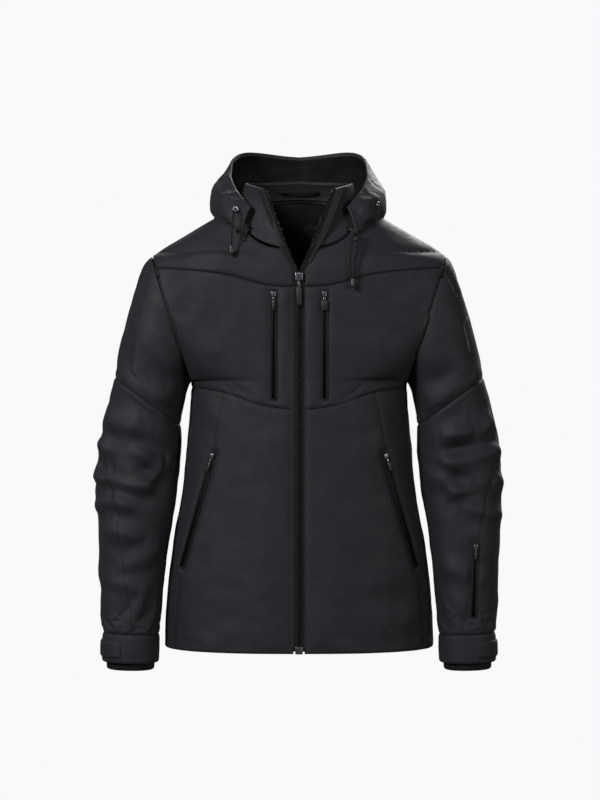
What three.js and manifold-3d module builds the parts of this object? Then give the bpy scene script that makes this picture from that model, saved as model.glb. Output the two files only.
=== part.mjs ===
// Hooded ski jacket, in millimetres. +Z is up, the front faces -Y and +X is the wearer's left.
// The origin is the centre of the neck opening, level with the high points of the shoulders.
import * as THREE from "three";
import { mergeVertices } from "three/addons/utils/BufferGeometryUtils.js";
import Module from "manifold-3d";

const wasm = await Module();
wasm.setup();

// Driving dimensions
const bodyLength = 730; // high point of the shoulder to the hem
const hemHalfWidth = 222;
const hemFrontDepth = 132;
const hemBackDepth = 130;
const chestHalfWidth = 178;
const shoulderHalfWidth = 242;
const shoulderDrop = 84;
const armholeHeight = 206;
const armholeHalfDepth = 84;
const neckHalfWidth = 100;
const neckFrontDrop = 78;
const sleeveEnd = 752; // drop of the cuff's edge below the origin
const elbowDrop = 399;
const cuffHeight = 50;
const shellThickness = 8; // face cloth, insulation and backing of one panel
const liningDepth = 18;
const liningThickness = 1.5;
const bagDepth = shellThickness + 2.5; // pocket bags hang between panel and lining
const bagThickness = 2;
const skirtDepth = 25;
const skirtThickness = 2;
const collarThickness = 6;
const hoodThickness = 8;
const zipTapeWidth = 8.4; // each half of the main zip
const teethWidth = 2.6;
const pocketZipWidth = 9;
const cordDiameter = 3;
const seamGap = 0.8; // between sewn panels
const restGap = 0.3; // between a piece and what it lies on

const armholeTop = -shoulderDrop;
const armholeBottom = armholeTop - armholeHeight;
const armholeMiddle = (armholeTop + armholeBottom) / 2;
const zipClosedTop = -112;
const openingTop = 20; // height of the collar's front corners
const sectionPower = 2.5; // squareness of the body's cross-section
const armholePower = 2.2;

const fabric = { color: 0x2e2d32, roughness: 0.85, metalness: 0 };
const darkFabric = { color: 0x0b0b0c, roughness: 0.8, metalness: 0 };
const zipBlack = { color: 0x121213, roughness: 0.5, metalness: 0 };
const darkMetal = { color: 0x33343a, roughness: 0.35, metalness: 0.9 };
const moulded = { color: 0x0c0c0d, roughness: 0.45, metalness: 0 };

const jacket = new THREE.Group();
jacket.name = "ski_jacket";

function lerp(a, b, t) {
  return a + (b - a) * t;
}

function mix(a, b, t) {
  return a.map((value, i) => lerp(value, b[i], t));
}

// Smooth curve through [position, value] pairs in rising order, with finite-difference slopes.
function through(table, at) {
  const last = table.length - 1;
  const x = Math.min(Math.max(at, table[0][0]), table[last][0]);
  let i = 0;
  while (i < last - 1 && x > table[i + 1][0]) i += 1;
  const slope = (k) => {
    const a = table[Math.max(k - 1, 0)];
    const b = table[Math.min(k + 1, last)];
    return (b[1] - a[1]) / (b[0] - a[0]);
  };
  const [x0, y0] = table[i];
  const [x1, y1] = table[i + 1];
  const w = x1 - x0;
  const t = (x - x0) / w;
  const rise = t * t * (3 - 2 * t);
  return y0 + (y1 - y0) * rise + w * t * (1 - t) * ((1 - t) * slope(i) - t * slope(i + 1));
}

// Body surface: each level is a rounded section, open at the sides along the armhole.
const sideFlare = [[0, 0], [0.1, 0.02], [0.24, 0.13], [0.43, 0.34], [0.61, 0.66], [0.8, 0.9], [1, 1]];

function sideWidth(z, round) {
  if (z <= armholeBottom) {
    const drop = (armholeBottom - z) / (bodyLength + armholeBottom);
    return lerp(chestHalfWidth, hemHalfWidth, through(sideFlare, drop));
  }
  const armLine = lerp(chestHalfWidth, shoulderHalfWidth, (z - armholeBottom) / armholeHeight);
  const shoulderLine = lerp(neckHalfWidth, shoulderHalfWidth, -z / shoulderDrop);
  const soft = -round * Math.log(Math.exp(-armLine / round) + Math.exp(-shoulderLine / round));
  return round > 0.5 ? soft : Math.min(armLine, shoulderLine);
}

function armholeDepth(z) {
  const level = Math.abs(z - armholeMiddle) / (armholeHeight / 2);
  return level < 1 ? armholeHalfDepth * (1 - level ** armholePower) ** (1 / armholePower) : 0;
}

function frontDepth(z) {
  const upper = [[zipClosedTop, 110], [-84, 102], [-50, 90], [0, 76], [30, 70]];
  if (z > zipClosedTop) return through(upper, z);
  return lerp(upper[0][1], hemFrontDepth, (zipClosedTop - z) / (bodyLength + zipClosedTop));
}

function backDepth(z) {
  const table = [[-400, 122], [-290, 127], [-220, 133], [-150, 130], [-84, 113], [-40, 93], [0, 80], [30, 74]];
  if (z > -400) return through(table, z);
  return lerp(table[0][1], hemBackDepth, (-400 - z) / (bodyLength - 400));
}

function bluntness(z) {
  const table = [[armholeBottom, 2.1], [armholeBottom + 50, 1.3], [armholeMiddle, 1]];
  const upper = [[armholeTop - 46, 1.1], [armholeTop, 1.7], [0, 2]];
  return through([...table, ...upper], z);
}

// side is -1 for the front and 1 for the back; s runs from -1 to 1 between the two sides.
function bodyPoint(side, s, z) {
  const angle = (Math.min(Math.abs(s), 1) * Math.PI) / 2;
  const width = lerp(sideWidth(z, 12), sideWidth(z, 0), Math.abs(s) ** 6);
  const depth = side < 0 ? frontDepth(z) : backDepth(z);
  const edge = armholeDepth(z);
  const x = Math.sign(s) * width * Math.sin(angle) ** (2 / sectionPower);
  const fall = Math.max(Math.cos(angle), 0) ** (2 / bluntness(z));
  return [x, side * (edge + (depth - edge) * fall), z];
}

// The s at which the section at height z reaches x.
function fractionAt(x, z) {
  const [soft, sharp] = [sideWidth(z, 12), sideWidth(z, 0)];
  let [low, high] = [0, 1];
  for (let i = 0; i < 22; i += 1) {
    const s = (low + high) / 2;
    if (lerp(soft, sharp, s ** 6) * Math.sin((s * Math.PI) / 2) ** (2 / sectionPower) < x) low = s;
    else high = s;
  }
  return (low + high) / 2;
}

// Half-opening of the fabric's front edges: beside the zip, then spreading to the collar's corners.
function frontEdge(z) {
  const half = zipTapeWidth + 2 * restGap;
  const table = [[zipClosedTop - 4, half], [-82, 24], [-40, 40], [openingTop, 62]];
  return through(table, z);
}

function edgeDepth(z) {
  if (z > -neckFrontDrop) {
    return lerp(edgeDepth(-neckFrontDrop), 80, (z + neckFrontDrop) / (openingTop + neckFrontDrop));
  }
  return -bodyPoint(-1, fractionAt(frontEdge(z), z), z)[1];
}

// Solids
function closedMesh(points, faces) {
  const geometry = new THREE.BufferGeometry();
  const corner = (index) => new THREE.Vector3(...points[index]);
  const volume = faces.reduce((sum, f) => sum + corner(f[0]).dot(corner(f[1]).cross(corner(f[2]))), 0);
  const turned = volume < 0 ? faces.map(([a, b, c]) => [a, c, b]) : faces;
  geometry.setAttribute("position", new THREE.Float32BufferAttribute(points.flat(), 3));
  geometry.setIndex(turned.flat());
  return geometry;
}

function quad(a, b, c, d) {
  return [[a, b, c], [a, c, d]];
}

function normalAt(surface, u, v) {
  const step = 0.02;
  const difference = (a, b) => new THREE.Vector3(...b).sub(new THREE.Vector3(...a));
  const along = difference(surface(u - step, v), surface(u + step, v));
  const across = difference(surface(u, v - step), surface(u, v + step));
  return along.cross(across).normalize();
}

// A closed sheet under surface(u, v): its outer skin is depth (a size, or a size for each row) inside the
// surface. outward gives the sign of the outer side; columns and rows are the values of u and v; keep holds
// each point on its own side.
function sheet(surface, columns, rows, outward, depth, thickness, keep = (point) => point) {
  const points = [];
  const depthAt = typeof depth === "function" ? depth : () => depth;
  for (const wall of [0, thickness]) {
    for (const v of rows) {
      for (const u of columns) {
        const inset = depthAt(v) + wall;
        const normal = normalAt(surface, u, v).multiplyScalar(outward);
        points.push(keep(surface(u, v).map((value, k) => value - normal.getComponent(k) * inset)));
      }
    }
  }
  const [n, m] = [columns.length, rows.length];
  const at = (layer, i, j) => layer * n * m + j * n + i;
  const faces = [];
  for (let j = 0; j < m - 1; j += 1) {
    for (let i = 0; i < n - 1; i += 1) {
      faces.push(...quad(at(0, i, j), at(0, i + 1, j), at(0, i + 1, j + 1), at(0, i, j + 1)));
      faces.push(...quad(at(1, i, j), at(1, i, j + 1), at(1, i + 1, j + 1), at(1, i + 1, j)));
    }
  }
  for (let i = 0; i < n - 1; i += 1) {
    faces.push(...quad(at(0, i + 1, 0), at(0, i, 0), at(1, i, 0), at(1, i + 1, 0)));
    faces.push(...quad(at(0, i, m - 1), at(0, i + 1, m - 1), at(1, i + 1, m - 1), at(1, i, m - 1)));
  }
  for (let j = 0; j < m - 1; j += 1) {
    faces.push(...quad(at(0, 0, j), at(0, 0, j + 1), at(1, 0, j + 1), at(1, 0, j)));
    faces.push(...quad(at(0, n - 1, j + 1), at(0, n - 1, j), at(1, n - 1, j), at(1, n - 1, j + 1)));
  }
  return closedMesh(points, faces);
}

// A closed sleeve wall between rings; ring(angle, t) is its outer skin.
function tube(ring, count, stations, thickness) {
  const points = [];
  for (const t of stations) {
    const centre = mix(ring(0, t), ring(Math.PI, t), 0.5);
    for (let i = 0; i < count; i += 1) {
      const outer = ring((2 * Math.PI * i) / count, t);
      const inward = new THREE.Vector3(...centre).sub(new THREE.Vector3(...outer)).setLength(thickness);
      points.push(outer, outer.map((value, k) => value + inward.getComponent(k)));
    }
  }
  const at = (layer, i, j) => (j * count + (i % count)) * 2 + layer;
  const faces = [];
  const last = stations.length - 1;
  for (let i = 0; i < count; i += 1) {
    for (let j = 0; j < last; j += 1) {
      faces.push(...quad(at(0, i, j), at(0, i + 1, j), at(0, i + 1, j + 1), at(0, i, j + 1)));
      faces.push(...quad(at(1, i, j), at(1, i, j + 1), at(1, i + 1, j + 1), at(1, i + 1, j)));
    }
    faces.push(...quad(at(0, i + 1, 0), at(0, i, 0), at(1, i, 0), at(1, i + 1, 0)));
    faces.push(...quad(at(0, i, last), at(0, i + 1, last), at(1, i + 1, last), at(1, i, last)));
  }
  return closedMesh(points, faces);
}

// A bar through stations of four corners each.
function bar(stations) {
  const faces = [];
  stations.forEach((corners, j) => {
    if (j === stations.length - 1) return;
    for (let i = 0; i < 4; i += 1) {
      const [a, b] = [j * 4 + i, j * 4 + ((i + 1) % 4)];
      faces.push(...quad(a, b, b + 4, a + 4));
    }
  });
  const end = (stations.length - 1) * 4;
  faces.push(...quad(3, 2, 1, 0), ...quad(end, end + 1, end + 2, end + 3));
  return closedMesh(stations.flat(), faces);
}

function solid(geometry) {
  const bare = geometry.clone();
  bare.deleteAttribute("normal");
  bare.deleteAttribute("uv");
  const merged = mergeVertices(bare, 1e-4);
  const vertProperties = new Float32Array(merged.attributes.position.array);
  const triVerts = new Uint32Array(merged.index.array);
  return new wasm.Manifold(new wasm.Mesh({ numProp: 3, vertProperties, triVerts }));
}

function fromSolid(made) {
  const { vertProperties, triVerts } = made.getMesh();
  const geometry = new THREE.BufferGeometry();
  geometry.setAttribute("position", new THREE.Float32BufferAttribute(vertProperties, 3));
  geometry.setIndex(new THREE.Uint32BufferAttribute(triVerts, 1));
  return geometry;
}

function cut(geometry, ...tools) {
  return fromSolid(tools.reduce((rest, tool) => rest.subtract(solid(tool)), solid(geometry)));
}

function add(name, geometry, look) {
  geometry.computeVertexNormals();
  const mesh = new THREE.Mesh(geometry, new THREE.MeshStandardMaterial({ ...look, flatShading: true }));
  mesh.name = name;
  jacket.add(mesh);
}

function steps(count) {
  return Array.from({ length: count + 1 }, (_, i) => i / count);
}

// Panels of the body. A corner or edge of a panel is [s, z]; the four edges blend over the panel.
const sideSeamMargin = 0.004;
const yokeSeam = [[0, -141], [0.1, -138], [0.28, -121], [0.57, -111], [1, -106]];
const chestSeam = [[0, -339], [0.135, -333], [0.4, -312], [0.7, -304], [1, -302]];
const seamHalf = seamGap / 2;
const yokeLap = 0.7; // extra room at a panel's edge where the sections bend

function frontStart(z) {
  return fractionAt(frontEdge(z), z);
}

function blended(side, sign, bottom, top, inner, outer) {
  return (u, v) => {
    const corners = [bottom(0), bottom(1), top(0), top(1)];
    const [s, z] = [0, 1].map((k) => {
      const ruled = lerp(bottom(u)[k], top(u)[k], v) + lerp(inner(v)[k], outer(v)[k], u);
      return ruled - lerp(lerp(corners[0][k], corners[1][k], u), lerp(corners[2][k], corners[3][k], u), v);
    });
    return bodyPoint(side, sign * s, z);
  };
}

// A panel between two seams, from the zip (or the centre of the back) to the side.
function between(side, sign, lower, upper, start) {
  return (u, v) => {
    const middle = (through(lower, u) + through(upper, u)) / 2;
    const seamPlace = lerp(start(middle), 1 - sideSeamMargin, u);
    const z = lerp(through(lower, seamPlace) + seamHalf, through(upper, seamPlace) - seamHalf - yokeLap * u, v);
    return bodyPoint(side, sign * lerp(start(z), 1 - sideSeamMargin, u), z);
  };
}

const hemLine = [[0, -bodyLength], [1, -bodyLength]];
const bottomRows = [0, 0.12, 0.3, 0.5, 0.7, 0.88, 1];
const bagColumns = [0, 0.12, 0.25, 0.38, 0.5, 0.62, 0.72];
const columns = [0, 0.12, 0.26, 0.42, 0.58, 0.72, 0.84, 0.93, 0.98, 1];

// Rows of a panel beside the armhole, closer together where the armhole turns.
function armholeRows(lowZ, highZ) {
  const levels = [lowZ, armholeBottom - 2];
  for (const degrees of [180, 168, 154, 138, 120, 100, 80, 62, 46, 34]) {
    levels.push(armholeMiddle + (armholeHeight / 2) * Math.cos((degrees * Math.PI) / 180));
  }
  const kept = levels.filter((z) => z >= lowZ && z < highZ - 4);
  return [...kept, highZ].map((z) => (z - lowZ) / (highZ - lowZ));
}

const inFront = ([x, y, z]) => clearOfZip([x, Math.min(y, -seamHalf), z]);
const clearOfZip = ([x, y, z]) => [Math.sign(x) * Math.max(Math.abs(x), frontEdge(z) + 1.5 * restGap), y, z];
const behind = ([x, y, z]) => [x, Math.max(y, seamHalf), z];

// The neck seam from the shoulder (t = 1) round to the front edge (t = 0), and its back half.
function neckFront(u) {
  const t = Math.min(Math.max(u, 0), 1);
  const x = lerp(frontEdge(-neckFrontDrop), neckHalfWidth, 1 - (1 - t) ** 1.7);
  const z = -neckFrontDrop * Math.sqrt(Math.max(1 - (x / neckHalfWidth) ** 3, 0));
  return [t === 1 ? 1 : fractionAt(x, z), z];
}

function neckBack(u) {
  const t = Math.min(Math.max(u, 0), 1);
  const x = neckHalfWidth * t;
  const z = 14 * (1 - t * t);
  return [t === 1 ? 1 : fractionAt(x, z), z];
}

const crestBreak = 0.24;
const yokeRows = [0, 0.12, crestBreak, 0.32, 0.44, 0.58, 0.72, 0.86, 1];

// Outer edge of a yoke: up the armhole to the shoulder's tip, then along the crest to the neck.
function yokeOuter(z0) {
  return (v) => {
    const s = 1 - sideSeamMargin;
    if (v < crestBreak) return [s, lerp(z0, armholeTop, v / crestBreak)];
    return [s, lerp(armholeTop, 0, (v - crestBreak) / (1 - crestBreak))];
  };
}

function yoke(side, sign, seam, neck, inner) {
  const bottom = (u) => {
    const start = inner(0)[0];
    const s = lerp(start, 1 - sideSeamMargin, u);
    return [s, through(seam, s) + seamHalf + yokeLap];
  };
  const top = (u) => {
    const [s, z] = neck(u);
    return [Math.min(s, 1 - sideSeamMargin), z - 0.5 * seamGap];
  };
  return blended(side, sign, bottom, top, inner, yokeOuter(bottom(1)[1]));
}

const frontYokeInner = (v) => {
  const z = lerp(through(yokeSeam, 0.03) + seamHalf, -neckFrontDrop - 0.5 * seamGap, v);
  return [frontStart(z), z];
};
const backSeam = [[0, -128], [0.5, -124], [1, -120]];
const backYokeInner = (v) => [0, lerp(-128 + seamHalf, 14 - 0.5 * seamGap, v)];

// Straight pocket zips: strip, slider and pull stand in a frame laid on the cloth.
function zipFrame(top, bottom, outward) {
  const start = new THREE.Vector3(...top);
  const down = new THREE.Vector3(...bottom).sub(start);
  const length = down.length();
  down.normalize();
  const wide = new THREE.Vector3().crossVectors(down, new THREE.Vector3(...outward)).normalize();
  const out = new THREE.Vector3().crossVectors(wide, down).normalize();
  return { start, down, wide, out, length };
}

// A box in a zip's frame: along, across and out ranges.
function zipBox(frame, along, across, out) {
  const point = (a, c, o) => {
    const p = frame.start.clone().addScaledVector(frame.down, a);
    p.addScaledVector(frame.wide, c).addScaledVector(frame.out, o);
    return p.toArray();
  };
  return bar(along.map((a) => [
    point(a, across[0], out[0]),
    point(a, across[1], out[0]),
    point(a, across[1], out[1]),
    point(a, across[0], out[1]),
  ]));
}

const stripBack = -3.2;
const stripFront = 0.6;
const sliderLength = 9;
const sliderHalfWidth = 3.4;
const sliderHeight = 3.4;
const pullThickness = 2;

function stripSlot(frame) {
  const half = pocketZipWidth / 2 + restGap;
  return zipBox(frame, [-restGap, frame.length + restGap], [-half, half], [stripBack - restGap, 14]);
}

function addPocketZip(name, frame, pullLength, pullHalfWidth) {
  const half = pocketZipWidth / 2;
  add(name + "_zip_strip", zipBox(frame, [0, frame.length], [-half, half], [stripBack, stripFront]), zipBlack);
  const base = stripFront + restGap;
  const sliderTop = base + sliderHeight;
  const body = zipBox(frame, [2, 2 + sliderLength], [-sliderHalfWidth, sliderHalfWidth], [base, sliderTop]);
  add(name + "_zip_slider", body, darkMetal);
  const pullStart = 2 + sliderLength + restGap;
  const pull = zipBox(
    frame,
    [pullStart, pullStart + pullLength],
    [-pullHalfWidth, pullHalfWidth],
    [sliderTop - pullThickness, sliderTop],
  );
  add(name + "_zip_pull", pull, moulded);
}

function onFront(x, z, lift) {
  const point = bodyPoint(-1, Math.sign(x) * fractionAt(Math.abs(x), z), z);
  return [x, point[1] - lift, z];
}

for (const [hand, sign] of [["right", -1], ["left", 1]]) {
  const chestZip = zipFrame(onFront(sign * 41, -146, 0), onFront(sign * 41, -322, 0), [0, -1, 0]);
  const handOut = [sign * 0.45, -1, 0];
  const handZip = zipFrame(onFront(sign * 139, -408, 0), onFront(sign * 192, -596, 0), handOut);

  const lower = between(-1, sign, hemLine, chestSeam, frontStart);
  const front = sheet(lower, columns, bottomRows, sign, 0, shellThickness, inFront);
  add("front_panel_" + hand, cut(front, stripSlot(handZip)), fabric);

  const chest = between(-1, sign, chestSeam, yokeSeam, frontStart);
  const chestRows = armholeRows(-302, -106);
  const chestPanel = sheet(chest, columns, chestRows, sign, 0, shellThickness, inFront);
  add("chest_panel_" + hand, cut(chestPanel, stripSlot(chestZip)), fabric);

  const yokeSurface = yoke(-1, sign, yokeSeam, neckFront, frontYokeInner);
  add("front_yoke_" + hand, sheet(yokeSurface, columns, yokeRows, sign, 0, shellThickness, inFront), fabric);

  // Pocket bags hang inside the fronts.
  const handBag = between(-1, sign, [[0, -650], [1, -650]], [[0, -440], [1, -440]], () => 0.22);
  const bag = sheet(handBag, bagColumns, [0, 0.5, 1], sign, bagDepth, bagThickness);
  add("hand_pocket_bag_" + hand, bag, darkFabric);
  addPocketZip(hand + "_chest", chestZip, 22, hand === "left" ? 4.5 : 3);
  addPocketZip(hand + "_hand", handZip, 20, 3);
}

// Back: one lower panel and one yoke.
function wholeBack(lower, upper) {
  return (u, v) => {
    const s = (2 * u - 1) * (1 - sideSeamMargin);
    const low = through(lower, Math.abs(s)) + seamHalf;
    const high = through(upper, Math.abs(s)) - seamHalf;
    return bodyPoint(1, s, lerp(low, high, v));
  };
}

const halves = columns.slice(1);
const wholeColumns = [...halves.map((u) => (1 - u) / 2).reverse(), 0.5, ...halves.map((u) => (1 + u) / 2)];
const backRows = [0, 0.15, 0.35, ...armholeRows(-bodyLength, -120).slice(1)];
const back = sheet(wholeBack(hemLine, backSeam), wholeColumns, backRows, -1, 0, shellThickness, behind);
add("back_panel", back, fabric);
const halfYoke = yoke(1, 1, backSeam, neckBack, backYokeInner);
const backYoke = (u, v) => {
  const [x, y, z] = halfYoke(Math.abs(2 * u - 1), v);
  return [u < 0.5 ? -x : x, y, z];
};
add("back_yoke", sheet(backYoke, wholeColumns, yokeRows, -1, 0, shellThickness, behind), fabric);

// Inner skins: from one front edge round the back to the other. w runs from 0 to 1 along them.
function roundSkin(bottom, top, start) {
  return (w, v) => {
    const z = lerp(bottom, top, v);
    const turn = Math.abs(4 * w - 2);
    const sign = w < 0.5 ? -1 : 1;
    if (turn > 1) return bodyPoint(-1, sign * lerp(1, start(z), turn - 1), z);
    return bodyPoint(1, sign * turn, z);
  };
}

const skinQuarter = [0, 0.2, 0.4, 0.6, 0.78, 0.9, 0.97, 1];
const skinColumns = [
  ...skinQuarter.map((t) => (1 - t) / 4).reverse(),
  ...skinQuarter.slice(0, -1).reverse().map((t) => 0.5 - t / 4),
];
const skinStart = (z) => fractionAt(30, z);
const wrap = [...skinColumns, ...skinColumns.slice(0, -1).reverse().map((t) => 1 - t)];
const skirtTop = -bodyLength + 150;
const [liningFoot, liningTop] = [-bodyLength + 14, armholeBottom - 10];
const skirtSeam = (skirtTop - liningFoot) / (liningTop - liningFoot); // the lining's row that carries the skirt
const liningRows = [0, 0.06, skirtSeam, 0.65, 1];
const lining = roundSkin(liningFoot, liningTop, skinStart);
const liningHang = (v) => (v < 0.01 ? shellThickness + 0.9 : liningDepth); // sewn to the panels at the hem
add("body_lining", sheet(lining, wrap, liningRows, -1, liningHang, liningThickness), darkFabric);
const skirt = roundSkin(-bodyLength + 30, skirtTop, skinStart);
const skirtHang = (v) => (v > 0.99 ? liningDepth + liningThickness + 0.7 : skirtDepth); // sewn to the lining
add("snow_skirt", sheet(skirt, wrap, [0, 0.5, 1], -1, skirtHang, skirtThickness), darkFabric);

// Main zip: a tape and a row of teeth on each front edge, closed below the slider and spread above it.
const tapeBehind = 1.5; // the tape's face lies this far behind the face cloth
const teethProud = 1.2;
const zipClosedLevels = [-bodyLength + 4, -560, -420, -260, zipClosedTop - 4];
const zipLevels = [...zipClosedLevels, -98, -88, -neckFrontDrop, -60, -40, -20, 0, openingTop - 2];

function edgeStrip(sign, near, far, back, front) {
  return bar(zipLevels.map((z) => {
    const x = frontEdge(z);
    const y = -edgeDepth(z);
    const corners = [[x - near, y + back], [x - far, y + back], [x - far, y + front], [x - near, y + front]];
    return corners.map(([a, b]) => [sign * a, b, z]);
  }));
}

const tapeInner = zipTapeWidth + restGap;
for (const [hand, sign] of [["right", -1], ["left", 1]]) {
  const tape = edgeStrip(sign, restGap, tapeInner, tapeBehind + 1.5, tapeBehind);
  add("main_zip_tape_" + hand, tape, zipBlack);
  const teeth = edgeStrip(sign, tapeInner - teethWidth, tapeInner, tapeBehind - restGap, -teethProud);
  add("main_zip_teeth_" + hand, teeth, darkMetal);
}

const zipFoot = [0, -frontDepth(-bodyLength), -bodyLength];
const zipHead = [0, -frontDepth(zipClosedTop - 4), zipClosedTop - 4];
const mainZip = zipFrame(zipHead, zipFoot, [0, -1, 0]);
const mainSliderLength = 13;
const mainSliderHalf = 6.2;
const channelHalf = teethWidth + 0.7;
const channelTop = teethProud + restGap;
const sliderRoof = channelTop + 2.4;
const sliderFloor = -tapeBehind + restGap + 0.1;
const sliderWidth = [-mainSliderHalf, mainSliderHalf];
const sliderBlock = zipBox(mainZip, [2, 2 + mainSliderLength], sliderWidth, [sliderFloor, sliderRoof]);
const sliderChannel = zipBox(mainZip, [-5, 40], [-channelHalf, channelHalf], [-9, channelTop]);
add("main_zip_slider", cut(sliderBlock, sliderChannel), darkMetal);
const mainPullStart = 2 + mainSliderLength + restGap;
const mainPullLength = 40;
const pullAlong = [mainPullStart, mainPullStart + mainPullLength];
const mainPull = zipBox(mainZip, pullAlong, [-4.5, 4.5], [sliderRoof - 2.4, sliderRoof]);
add("main_zip_pull", mainPull, moulded);
const boxLength = 12;
const retainerTop = mainZip.length - boxLength;
const retainer = zipBox(mainZip, [retainerTop, mainZip.length], [-6, 6], [channelTop, sliderRoof]);
add("main_zip_box", retainer, darkMetal);
const flapStart = (z) => fractionAt(24, z);
const flapHalf = flapStart(-300);
const flap = (u, v) => bodyPoint(-1, lerp(-flapHalf, flapHalf, u), lerp(-bodyLength + 8, -150, v));
add("wind_flap", sheet(flap, steps(4), steps(2), 1, shellThickness + 1, 2), darkFabric);

// Collar: rises from the neck seam; a runs from the back's centre (0) round the side to the front edge (1).
const collarTopBack = 46;
const neckSplit = 0.5;

function neckSeam(a) {
  if (a < neckSplit) {
    const x = neckHalfWidth * Math.sin((a / neckSplit) * (Math.PI / 2));
    const z = 14 * (1 - (x / neckHalfWidth) ** 2);
    return bodyPoint(1, a === 0 ? 0 : fractionAt(x, z), z);
  }
  const t = (1 - a) / (1 - neckSplit);
  const x = lerp(frontEdge(-neckFrontDrop), neckHalfWidth, 1 - (1 - t) ** 1.7);
  const z = -neckFrontDrop * Math.sqrt(Math.max(1 - (x / neckHalfWidth) ** 3, 0));
  return bodyPoint(-1, fractionAt(x, z), z);
}

function collarRim(a) {
  const angle = through([[0, 0], [0.5, 92], [1, 142]], a) * (Math.PI / 180);
  const z = through([[0, collarTopBack], [0.5, 36], [1, openingTop]], a);
  return [88 * Math.sin(angle) + 6 * a ** 4, 70 * Math.cos(angle) - 24 * a ** 3, z];
}

function collarPoint(a, b) {
  const [x, y, z] = mix(neckSeam(a), collarRim(a), b);
  return [x + (frontEdge(z) - x) * Math.max(a, 0) ** 8, y, z];
}

const collarRows = [0, 0.25, 0.5, 0.75, 1];
const collarSplit = 0.36;
const collarBottom = 1.2;
const lifted = (surface) => (u, v) => {
  const [x, y, z] = surface(u, v);
  return [x, y, z + collarBottom];
};
for (const [hand, sign] of [["right", -1], ["left", 1]]) {
  const side = lifted((u, v) => {
    const [x, y, z] = collarPoint(lerp(collarSplit + 0.003, 1, u), v);
    return [sign * x, y, z];
  });
  add("collar_" + hand, sheet(side, steps(9), collarRows, -sign, 0, collarThickness, clearOfZip), fabric);
}
const collarBackSurface = lifted((u, v) => {
  const a = (2 * u - 1) * collarSplit;
  const [x, y, z] = collarPoint(Math.abs(a), v);
  return [Math.sign(a) * x, y, z];
});
add("collar_back", sheet(collarBackSurface, steps(8), collarRows, -1, 0, collarThickness), fabric);

// Height of the body's surface above a point of the plan.
function bodyTop(x, y) {
  let [low, high] = [-300, 40];
  for (let i = 0; i < 30; i += 1) {
    const z = (low + high) / 2;
    const wall = bodyPoint(y < 0 ? -1 : 1, fractionAt(Math.abs(x), z), z)[1];
    if (Math.abs(x) < sideWidth(z, 0) && Math.abs(wall) > Math.abs(y)) low = z;
    else high = z;
  }
  return low;
}

// Hood, standing open round the neck. Each station is an angle from the back, three radii where the hood rests
// on the shoulders, then three [radius, height] up to the rim.
const hoodCentreY = -5;
const hoodClear = [[0, 12], [56, 12], [80, 5], [134, 5]];
const hoodSewnGap = 2; // at the edge sewn to the neck seam
const hoodRest = 0.4; // share of the outline that rests on the shoulders
const hoodStations = [
  [0, [90, 126, 158], [[186, -70], [192, 10], [160, 96]]],
  [40, [93, 126, 158], [[178, -52], [180, 18], [144, 99]]],
  [75, [108, 124, 142], [[152, -8], [148, 38], [112, 94]]],
  [100, [113, 125, 138], [[145, -8], [138, 34], [102, 76]]],
  [122, [114.5, 121, 128], [[136, -22], [128, 10], [106, 30]]],
  [134, [115, 119, 122], [[126, -46], [118, -24], [108, -8]]],
];
const hoodFloor = [[0, -148], [40, -122], [75, -60], [134, -90]];

function hoodPoint(degrees, b) {
  const at = Math.abs(degrees);
  const value = (pick) => through(hoodStations.map((station) => [station[0], pick(station)]), at);
  const radii = [0, 1, 2].map((i) => value((station) => station[1][i]));
  const angle = (degrees * Math.PI) / 180;
  const place = (r) => [r * Math.sin(angle), hoodCentreY + r * Math.cos(angle)];
  const resting = (r) => {
    const hanging = through(hoodFloor, at) + (radii[2] - r) * 1.6;
    const clear = lerp(hoodSewnGap, through(hoodClear, at), Math.sqrt(Math.min(Math.max(b, 0) / 0.15, 1)));
    return Math.max(bodyTop(...place(r)), hanging) + clear;
  };
  if (b <= hoodRest) {
    const r = through(radii.map((radius, i) => [(i * hoodRest) / 2, radius]), b);
    return [...place(r), resting(r)];
  }
  const upper = [0, 1, 2].map((i) => [0, 1].map((k) => value((station) => station[2][i][k])));
  const path = [[radii[2], resting(radii[2])], ...upper];
  const [r, z] = [0, 1].map((k) => through(path.map((point, i) => [hoodRest + i * 0.2, point[k]]), b));
  return [...place(r), z];
}

const hoodEnd = 134;
const hoodSplit = 62;
const hoodSeam = 0.28; // degrees left open on each side of a hood seam
const hoodRows = [0, 0.03, 0.06, 0.1, 0.15, 0.2, 0.3, 0.4, 0.5, 0.6, 0.7, 0.8, 0.9, 1];
for (const [hand, sign] of [["right", -1], ["left", 1]]) {
  const side = (u, v) => hoodPoint(sign * lerp(hoodSplit + hoodSeam, hoodEnd, u), v);
  add("hood_side_" + hand, sheet(side, steps(8), hoodRows, -sign, 0, hoodThickness), fabric);
}
const hoodMiddle = (u, v) => hoodPoint(lerp(hoodSeam - hoodSplit, hoodSplit - hoodSeam, u), v);
add("hood_centre", sheet(hoodMiddle, steps(10), hoodRows, -1, 0, hoodThickness), fabric);

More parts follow.
